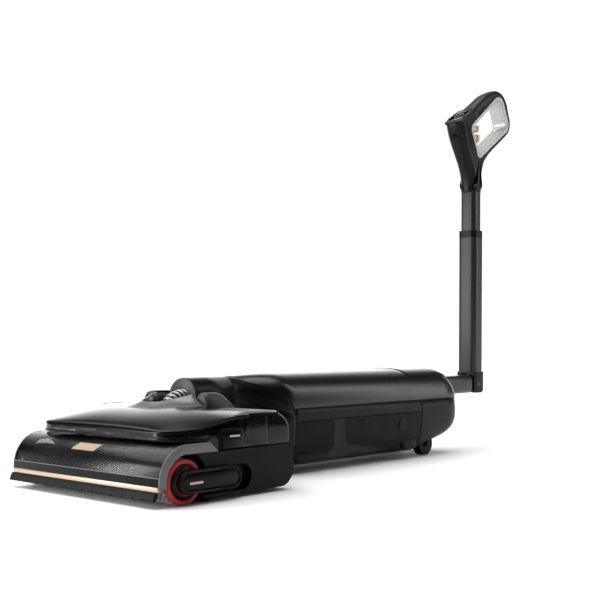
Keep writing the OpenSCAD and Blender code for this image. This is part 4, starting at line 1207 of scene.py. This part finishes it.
for side in (1, -1):
    fork(side)
tube = capsule(34, 30, 8.5, 0, FOLD_Y)
skin("mast_outer",
     bar_rows(tube, [(121.5, 1.0), (122.3, 0.1), (123, 0), (361.8, 0), (363.2, 0.3), (364, 1.2)], 2), "mast",
     anodised, stands_for="outer_tube", slot="tube_alu")
collar_rows = bar_rows(capsule(34.2, 30.2, 8.6, 0, FOLD_Y),
                       [(352.0, 0.9), (352.4, 0), (363.5, 0), (364.2, 0.8)], 2)
skin("mast_collar", collar_rows, "mast", satin_black, slot="plastic_black")
inner_tube = capsule(28.4, 24.4, 7, 0, FOLD_Y)
skin("mast_inner", bar_rows(inner_tube, [(196, 1.0), (197, 0.1), (198, 0), (466, 0), (468, 0.6)], 2), "grip",
     anodised,
     stands_for="inner_tube", slot="tube_alu")
print("stub, fork and mast")

# %% [markdown]
# ## Grip
# The grip is a moulded ring on a stem, its front face raked back to carry the display. Its outer edge
# is rounded except on that face, its sides are flat, and a straight silver wall lines the opening. It
# is a grid of rings, each running round the whole grip, joined from the outer edge to the opening and
# back along the other side; each ring is matched point to point with the one before it.

# %% Grip shell
GRIP_FOOT, GRIP_HALF = 430, 14.8
FACE_TIP, FACE_TOP = (FOLD_Y - 60.5, 540.5), (FOLD_Y - 16.5, 567.5)
rake = math.atan2(FACE_TOP[1] - FACE_TIP[1], FACE_TOP[0] - FACE_TIP[0])

def along(points, n, closed=True):
    """n points evenly spaced by length along a polyline."""
    p = np.vstack([points, points[:1]]) if closed else np.asarray(points, float)
    d = np.concatenate([[0], np.cumsum(np.linalg.norm(np.diff(p, axis=0), axis=1))])
    t = np.linspace(0, d[-1], n, endpoint=not closed)
    return np.stack([np.interp(t, d, p[:, k]) for k in range(2)], 1)

def outer_outline(n=(46, 70, 40, 50)):
    """The outer edge in four runs: up the display face to the loop, over the loop, back down to the
    stem, and up the raked front. Each run has as many points as the surround's run that it faces."""
    f = FOLD_Y
    runs = [np.array([FACE_TIP, FACE_TOP, (f + 30, 600)]),
            np.vstack([arc_points(f + 70.5, 580, 34, 117, 8, 30),
                       [(f + 108, 575), (f + 111, 565), (f + 110.5, 555), (f + 107, 547)]]),
            np.array([(f + 101, 540), (f + 88.5, 531), (f + 62, 513.5), (f + 42, 499.5), (f + 31, 490),
                      (f + 24, 481),
                      (f + 19.5, 469), (f + 17, 456), (f + 15.5, GRIP_FOOT)]),
            np.array([(f - 15.5, GRIP_FOOT), (f - 15.8, 447), (f - 19, 458), (f - 25, 470.5),
                      (f - 39.5, 494.5),
                      (f - 51.5, 517), FACE_TIP])]
    for k in (1, 2, 3):
        runs[k] = np.vstack([runs[k - 1][-1:], runs[k]])
    return np.concatenate([along(p, c, False)[:-1] for p, c in zip(runs, n)])

def relax(p, keep, times):
    """Averages each point with its neighbours to round the corners, except where keep is near 1."""
    for _ in range(times):
        p = p * 0.5 + (np.roll(p, 1, 0) + np.roll(p, -1, 0)) * 0.25 * (1 - keep) + p * 0.5 * keep
    return p

outer_ring = outer_outline()
at_foot = np.clip(1 - np.abs(outer_ring[:, 1] - GRIP_FOOT) / 6, 0, 1)[:, None]
at_face = np.clip(1 - np.linalg.norm(outer_ring - FACE_TIP, axis=1) / 8, 0, 1)[:, None]
outer_ring = relax(outer_ring, np.maximum(at_foot, 0.6 * at_face), 14)

def surround_ring(n=(46, 70, 40, 50)):
    """The silver surround's outer edge: a four-sided outline with round corners, in the same four runs
    as the outer edge, so that the two can be joined point to point."""
    f = FOLD_Y
    p = fillet([(f - 25, 536.5), (f + 74, 611), (f + 104, 552), (f + 1.5, 484)], [12, 20, 17, 9], 12)
    cuts = [(p[6:20]), (p[19:40]), (p[39:46]), np.vstack([p[45:], p[:7]])]
    return np.concatenate([along(q, c, False)[:-1] for q, c in zip(cuts, n)])

rim_ring = surround_ring()
def mirrored(rows):
    """Rows given from the middle out on one side, with their mirror images behind them."""
    rows = np.array(rows)
    return np.concatenate([rows, rows[::-1] * [-1, 1, 1]])

def roundness():
    """For every point of the outer edge: the half width, how far across the rounding starts, and how far
    in it reaches. On the display face the rounding stops, and the face is left as a D: its half width
    is 17 mm times the height of a circle at that distance from the tip."""
    d = outer_ring - FACE_TIP
    up = d[:, 0] * math.cos(rake) + d[:, 1] * math.sin(rake)
    off = np.abs(d[:, 1] * math.cos(rake) - d[:, 0] * math.sin(rake))
    face = smooth((2.5 - off) / 1.5) * smooth((56 - up) / 5) * (up > -0.5)
    half = GRIP_HALF + 2.2 * smooth((outer_ring[:,
                                                1] - 470) / 50) * smooth((FOLD_Y + 15 - outer_ring[:,
                                                                                                   0]) / 40)
    dee = 17.0 * np.sqrt(1 - (1 - np.clip(up, 0, 22) / 22) ** 2)
    across = np.where(face > 0, half - np.maximum(dee, 2.8), 12.0) * face + 12.0 * (1 - face)
    gap = np.linalg.norm(outer_ring[:, None] - rim_ring[None], axis=2).min(1)
    reach = np.minimum(12.0, 0.75 * gap) * (1 - face) + 1.5 * face
    return half, np.clip(across, 0.05, 12), reach

def facing(ring):
    """The ring's points moved along it so that each lies opposite its outer point: the nearest index,
    less the plain count, is smoothed and used to read the ring between its points."""
    n = len(ring)
    near = np.linalg.norm(outer_ring[:, None] - rim_ring[None], axis=2).argmin(1)
    lag = (near - np.arange(n) + n // 2) % n - n // 2
    for _ in range(10):
        lag = (np.roll(lag, 1) + 2 * lag + np.roll(lag, -1)) / 4
    at = (np.arange(n) + lag) % n
    loop = np.vstack([ring, ring[:1]])
    return np.stack([np.interp(at, np.arange(n + 1), loop[:, k]) for k in range(2)], 1)

grip_black = finish("ABS moulded satin black, grip", "#0b0b0c", 0.36, 0.5, 0.10, 0.04, "#101011", 0.5,
                    Specular_IOR_Level=0.16)
def grip():
    """Rings from the outer edge round a quarter of an ellipse to the flat side, across it to the
    surround, and down into the opening behind the surround."""
    half, across, reach = roundness()
    inward = inset(outer_ring, 1) - outer_ring
    rows = []
    for t in np.linspace(0, pi / 2, 10):
        p = outer_ring + inward * (reach * (1 - math.cos(t)))[:, None]
        rows.append(np.column_stack([half - across + across * math.sin(t), p]))
    last = rows[-1]
    for s in (0.12, 0.3, 0.5, 0.7, 0.88, 0.97):
        side = np.column_stack([np.full(len(last), GRIP_HALF), facing(inset(rim_ring, -0.5))])
        rows.append(last * (1 - s) + side * s)
    for d, x in ((-0.2, 14.5), (0.0, 13.8), (0.3, 8.0), (0.3, 1.0)):
        rows.append(np.insert(facing(inset(rim_ring, d)), 0, x, 1))
    return skin("grip_moulding", mirrored(rows), "grip", grip_black, loop=True, stands_for="grip_shell",
                slot="plastic_black", sharp=38)

grip()

def trim():
    """The surround: a flat silver band at each side, then the wall of the opening right through."""
    rows = [np.insert(inset(rim_ring, d), 0, x, 1) for d,
            x in ((0.3, 10.0), (0.05, 14.2), (0.1, 14.9), (0.7, 15.3), (4.3, 15.2),
            (5.0, 14.7), (5.4, 13.4), (5.6, 9.0), (5.7, 4.0), (5.7, 0.5))]
    return skin("hand_hole_trim", mirrored(rows), "grip", silver_trim, loop=True, stands_for="grip_trim",
                slot="trim_silver", sharp=40)

trim()
print("grip moulding and trim")

# %% [markdown]
# ## Display and triggers
# The display is a dark plate on the raked face. It carries plain rings, a bar and a dot as thin plates
# of their own. Two champagne triggers stand on stems from the front wall of the opening.

# %% Display, buttons and collar
def on_face(x, s, h):
    """A point of the raked face: x across, s up the rake from its lower edge, h proud of it."""
    y0, z0 = FACE_TIP
    return np.stack([x, y0 + s * math.cos(rake) - h * math.sin(rake),
                     z0 + s * math.sin(rake) + h * math.cos(rake)], -1)

def face_plate(name, outline, low, high, mat, edge=0.4, body="grip", **kw):
    """A plate on the raked face: an outline in x and s, carried from low to high with a rounded top rim."""
    rows = [on_face(outline[:, 0], outline[:, 1], np.full(len(outline), low))]
    for t in np.linspace(0, pi / 2, 4):
        q = inset(outline, edge * (1 - math.cos(t)))
        rows.append(on_face(q[:, 0], q[:, 1], np.full(len(q), high - edge + edge * math.sin(t))))
    return skin(name, np.array(rows), body, mat, **kw)

face_plate("display_glass", fillet([(-14.5, 6), (14.5, 6), (14.5, 48), (-14.5, 48)], [13, 13, 5, 5], 8),
           -0.5, 0.7, window_black,
           stands_for="display_panel", slot="display_black", sharp=40)
def face_ring(name, s, radius, wide, mat):
    """A flat hoop on the display: an annulus whose four edges are circles about the same point."""
    a = np.linspace(0, tau, 64, endpoint=False)
    prof = [(radius, 0.6), (radius, 0.85), (radius - wide, 0.85), (radius - wide, 0.6)]
    g = np.array([on_face(r * np.cos(a), s + r * np.sin(a), np.full(64, h)) for r, h in prof])
    return skin(name, g, "grip", mat, loop=True, slot="plastic_light", sharp=40)

mark_gray = finish("ink printed pale gray", "#8f8f8f", 0.5, 0.3, 0.05, 0.03, "#9a9a9a", 0.3)
mark_red = finish("lamp window red", "#c8301f", 0.35, 0.3, 0.05, 0.03, "#a02418", 0.3)
face_ring("display_ring", 27, 8.2, 0.8, mark_gray)
face_ring("display_inner_ring", 27, 4.0, 0.6, mark_gray)
face_plate("display_bar", fillet([(-5, 41), (5, 41), (5, 42.4), (-5, 42.4)], 0.5, 3), 0.5, 0.9, mark_gray,
           edge=0.15,
           slot="plastic_light")
face_plate("display_dot", superellipse(1.2, 1.2, 2, 24) + [0, 11], 0.5, 0.9, mark_red, edge=0.15,
           slot="bristle_red")

def front_sensor():
    """A shallow ring and disc let into the stem's sloping front face."""
    a = np.linspace(0, tau, 48, endpoint=False)
    slope = math.atan2(538.5 - 494.5, -66 + 40.5)
    base_y, base_z = FOLD_Y - 53.9, 517.0
    prof = [(0.2, 0.15), (3.0, 0.15), (3.1, -0.3), (3.5, -0.3), (3.6, 0.35), (4.2, 0.3), (4.4, -0.4)]
    g = np.array([np.stack([r * np.cos(a), base_y + r * np.sin(a) * math.cos(slope) - h * math.sin(slope),
                            base_z + r * np.sin(a) * math.sin(slope)], -1)
                  for r, h in prof])
    return skin("front_sensor", g, "grip", gloss_black, slot="plastic_gloss", sharp=40)

front_sensor()
def trigger(name, z0, z1, node, body):
    """A pad on a stem from the opening's front wall: a rounded outline in x and z, crowned in the middle."""
    low, high = corners(node)
    out = fillet([(-7.2, z0), (7.2, z0), (7.2, z1), (-7.2, z1)], 2.5, 6)
    y0, y1 = low[1], high[1]
    steps = [(2.0, FOLD_Y - 12.0), (2.0, y0 - 2.5), (0.6, y0 - 1.2), (0, y0 + 0.1), (0, y1 - 1.0),
             (0.3, y1 - 0.4), (1.0, y1 - 0.1), (2.2, y1)]
    rows = np.array([np.insert(inset(out, d), 1, y, 1) for d, y in steps])
    return skin(name, rows, body, champagne, stands_for=node, slot="accent_beige", sharp=40)

trigger("power_trigger_pad", 533.2, 544.8, "power_trigger", "power_trigger")
trigger("mode_trigger_pad", 516.2, 529.8, "mode_trigger", "mode_trigger")
skin("grip_collar",
     bar_rows(capsule(30.4, 31.2, 12.4, 0, FOLD_Y),
              [(429.4, 1.6), (429.6, 0.6), (430.4, 0.2), (433, 0), (444, 0.1)], 2),
     "grip", satin_black, slot="plastic_black")
print("display, buttons and collar")

# %% [markdown]
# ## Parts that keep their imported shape
# Motors, cells, wheels and pins are mostly hidden by the shells round them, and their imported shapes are
# already right, so they only take a finish. Each is given the material that its real part is made of.

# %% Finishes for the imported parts
def dress(mat, *names):
    """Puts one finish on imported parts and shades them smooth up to 30 degrees."""
    for name in names:
        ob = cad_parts[name]
        if ob.hide_render:
            continue
        ob.data.materials.clear()
        ob.data.materials.append(mat)
        ob.data.polygons.foreach_set("material_index", [0] * len(ob.data.polygons))
        ob.data.polygons.foreach_set("use_smooth", [True] * len(ob.data.polygons))
        ob.data.set_sharp_from_angle(angle=math.radians(30))

dress(satin_black, "chassis", "spray_bar", "suction_duct", "strainer", "neck_gimbal", "neck_mount")
dress(motor_case, "roller_motor", "fan_motor", "water_pump")
dress(cell_wrap, "battery_pack")
dress(pin_steel, "pivot_pins", "wheel_axles", "swivel_pin", "fold_pin")
dress(rubber, "tank_seal", "tail_wheels", "wheel_tyre_right", "wheel_tyre_left")
dress(charcoal, "roller_core", "wheel_hub_right", "wheel_hub_left")
dress(valve_white, "float_valve")
dress(satin_black, *[n for n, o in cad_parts.items() if not o.hide_render and o.data.materials[0] not in
                     (motor_case, cell_wrap, pin_steel, rubber, charcoal, valve_white, satin_black)])
print("packed parts shown:", sorted(n for n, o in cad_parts.items() if not o.hide_render))

# %% [markdown]
# ## Floor, light and camera
# A pale sweep of floor with three soft panels, a low fill and a wide overhead glow. The panels give
# the dark plastics their long highlights, which is what shows their shape. The low fill is kept out
# of reflections, so that it lightens the front without drawing a white bar on the gloss.

# %% Stage
def aim(ob, target):
    ob.rotation_euler = (Vector(to_m(target).tolist()) - ob.location).to_track_quat("-Z", "Y").to_euler()

def panel_light(name, place, target, width, height, power, color="#ffffff"):
    """A rectangular soft light, placed in millimetres and turned to face its target."""
    data = bpy.data.lights.new(name, "AREA")
    data.shape, data.size, data.size_y = "RECTANGLE", width / 1000, height / 1000
    data.energy = power
    data.color = linear(color)[:3]
    ob = bpy.data.objects.new(name, data)
    bpy.context.scene.collection.objects.link(ob)
    ob.location = to_m(place)
    aim(ob, target)
    return ob

panel_light("flank_strip", (1000, 1900, 1045), (60, 400, 100), 260, 2200, 10)
panel_light("hood_panel", (-1000, 0, 1160), (10, -30, 50), 420, 800, 1.8)
panel_light("mast_panel", (-1590, -1755, 700), (0, 780, 330), 560, 1400, 34)
low_fill = panel_light("low_fill", (550, -1400, 80), (0, -20, 6), 1000, 120, 6)
low_fill.visible_glossy = False
sun = bpy.data.lights.new("ceiling_glow", "SUN")
sun.energy, sun.angle = 3.5, math.radians(70)
ceiling = bpy.data.objects.new("ceiling_glow", sun)
bpy.context.scene.collection.objects.link(ceiling)
ceiling.rotation_euler = Vector((0.25, 0.1, -1)).to_track_quat("-Z", "Y").to_euler()

floor_mat = finish("paper sweep white", "#f7f7f7", 0.9, 1.0, 0.0, 0.02, "#f3f3f3", 0.3,
                   Specular_IOR_Level=0.1)
def floor():
    """A flat round sheet, rings of a circle at growing radii."""
    a = np.linspace(0, tau, 96, endpoint=False)
    r = np.array([0.01, 500, 2000, 8000, 30000.0])[:, None]
    g = np.stack([r * np.cos(a), r * np.sin(a), np.zeros((len(r), 96))], -1)
    me = bpy.data.meshes.new("floor")
    me.from_pydata(to_m(g.reshape(-1, 3)).tolist(), [], grid_faces(len(r), 96, False, True))
    me.materials.append(floor_mat)
    ob = bpy.data.objects.new("floor", me)
    bpy.context.scene.collection.objects.link(ob)

floor()

# %% [markdown]
# ## Surroundings
# Black plastic shows what is round it. A white room would turn it gray, so light and reflections see a
# dim room with one bright wall, and the camera sees plain white behind the object.

# %% Surroundings
def surroundings():
    """A dim room with one bright wall: 0.02 + 4.6 * smooth(towards the wall) * smooth(low in the sky).
    Only reflections and light see that room; the camera itself sees plain white."""
    world = bpy.data.worlds.new("studio")
    bpy.context.scene.world = world
    world.use_nodes = True
    t = world.node_tree
    t.nodes.clear()
    out = add(t, "ShaderNodeOutputWorld")
    sky = add(t, "ShaderNodeBackground")
    plain = add(t, "ShaderNodeBackground", Strength=1.05)
    plain.inputs["Color"].default_value = linear("#ffffff")
    where = add(t, "ShaderNodeTexCoord")
    split = add(t, "ShaderNodeSeparateXYZ", [(where.outputs["Generated"], 0)])
    facing = add(t, "ShaderNodeVectorMath", [(where.outputs["Generated"], 0)], operation="DOT_PRODUCT")
    facing.inputs[1].default_value = (-0.665, 0.747, 0.0)
    wall = add(t, "ShaderNodeMapRange", [(facing.outputs["Value"], "Value")],
               interpolation_type="SMOOTHSTEP")
    wall.inputs["From Min"].default_value, wall.inputs["From Max"].default_value = 0.62, 0.93
    low = add(t, "ShaderNodeMapRange", [(split.outputs["Z"], "Value")], interpolation_type="SMOOTHSTEP")
    low.inputs["From Min"].default_value, low.inputs["From Max"].default_value = 0.15, 0.62
    low.inputs["To Min"].default_value, low.inputs["To Max"].default_value = 1.0, 0.0
    both = add(t, "ShaderNodeMath", [(wall.outputs["Result"], 0), (low.outputs["Result"], 1)],
               operation="MULTIPLY")
    lift = add(t, "ShaderNodeMath", [(both.outputs[0], 0)], operation="MULTIPLY_ADD")
    lift.inputs[1].default_value, lift.inputs[2].default_value = 4.6, 0.02
    t.links.new(lift.outputs[0], sky.inputs["Strength"])
    eye_ray = add(t, "ShaderNodeLightPath")
    pick = add(t, "ShaderNodeMixShader",
               [(eye_ray.outputs["Is Camera Ray"], 0), (sky.outputs[0], 1), (plain.outputs[0], 2)])
    t.links.new(pick.outputs[0], out.inputs["Surface"])

surroundings()
bpy.context.scene.view_settings.view_transform = "Standard"

# %% [markdown]
# ## Camera
# The camera stands low, in front and to the right, a little over a metre from the head. The lens is
# shifted up instead of tilted, so that upright edges stay nearly parallel.

# %% Camera
camera = bpy.data.cameras.new("camera")
camera.lens, camera.sensor_width = 62.22, 36.0
camera.shift_x, camera.shift_y = 0.00735, 0.1085
camera.clip_start, camera.clip_end = 0.05, 50
eye = bpy.data.objects.new("camera", camera)
bpy.context.scene.collection.objects.link(eye)
eye.location = to_m([959.66, -747.47, 177.53])
az, pitch = math.radians(41.71), math.radians(1.37)
look = Vector((-math.sin(az) * math.cos(pitch), math.cos(az) * math.cos(pitch), -math.sin(pitch)))
eye.rotation_euler = look.to_track_quat("-Z", "Y").to_euler()
bpy.context.scene.camera = eye
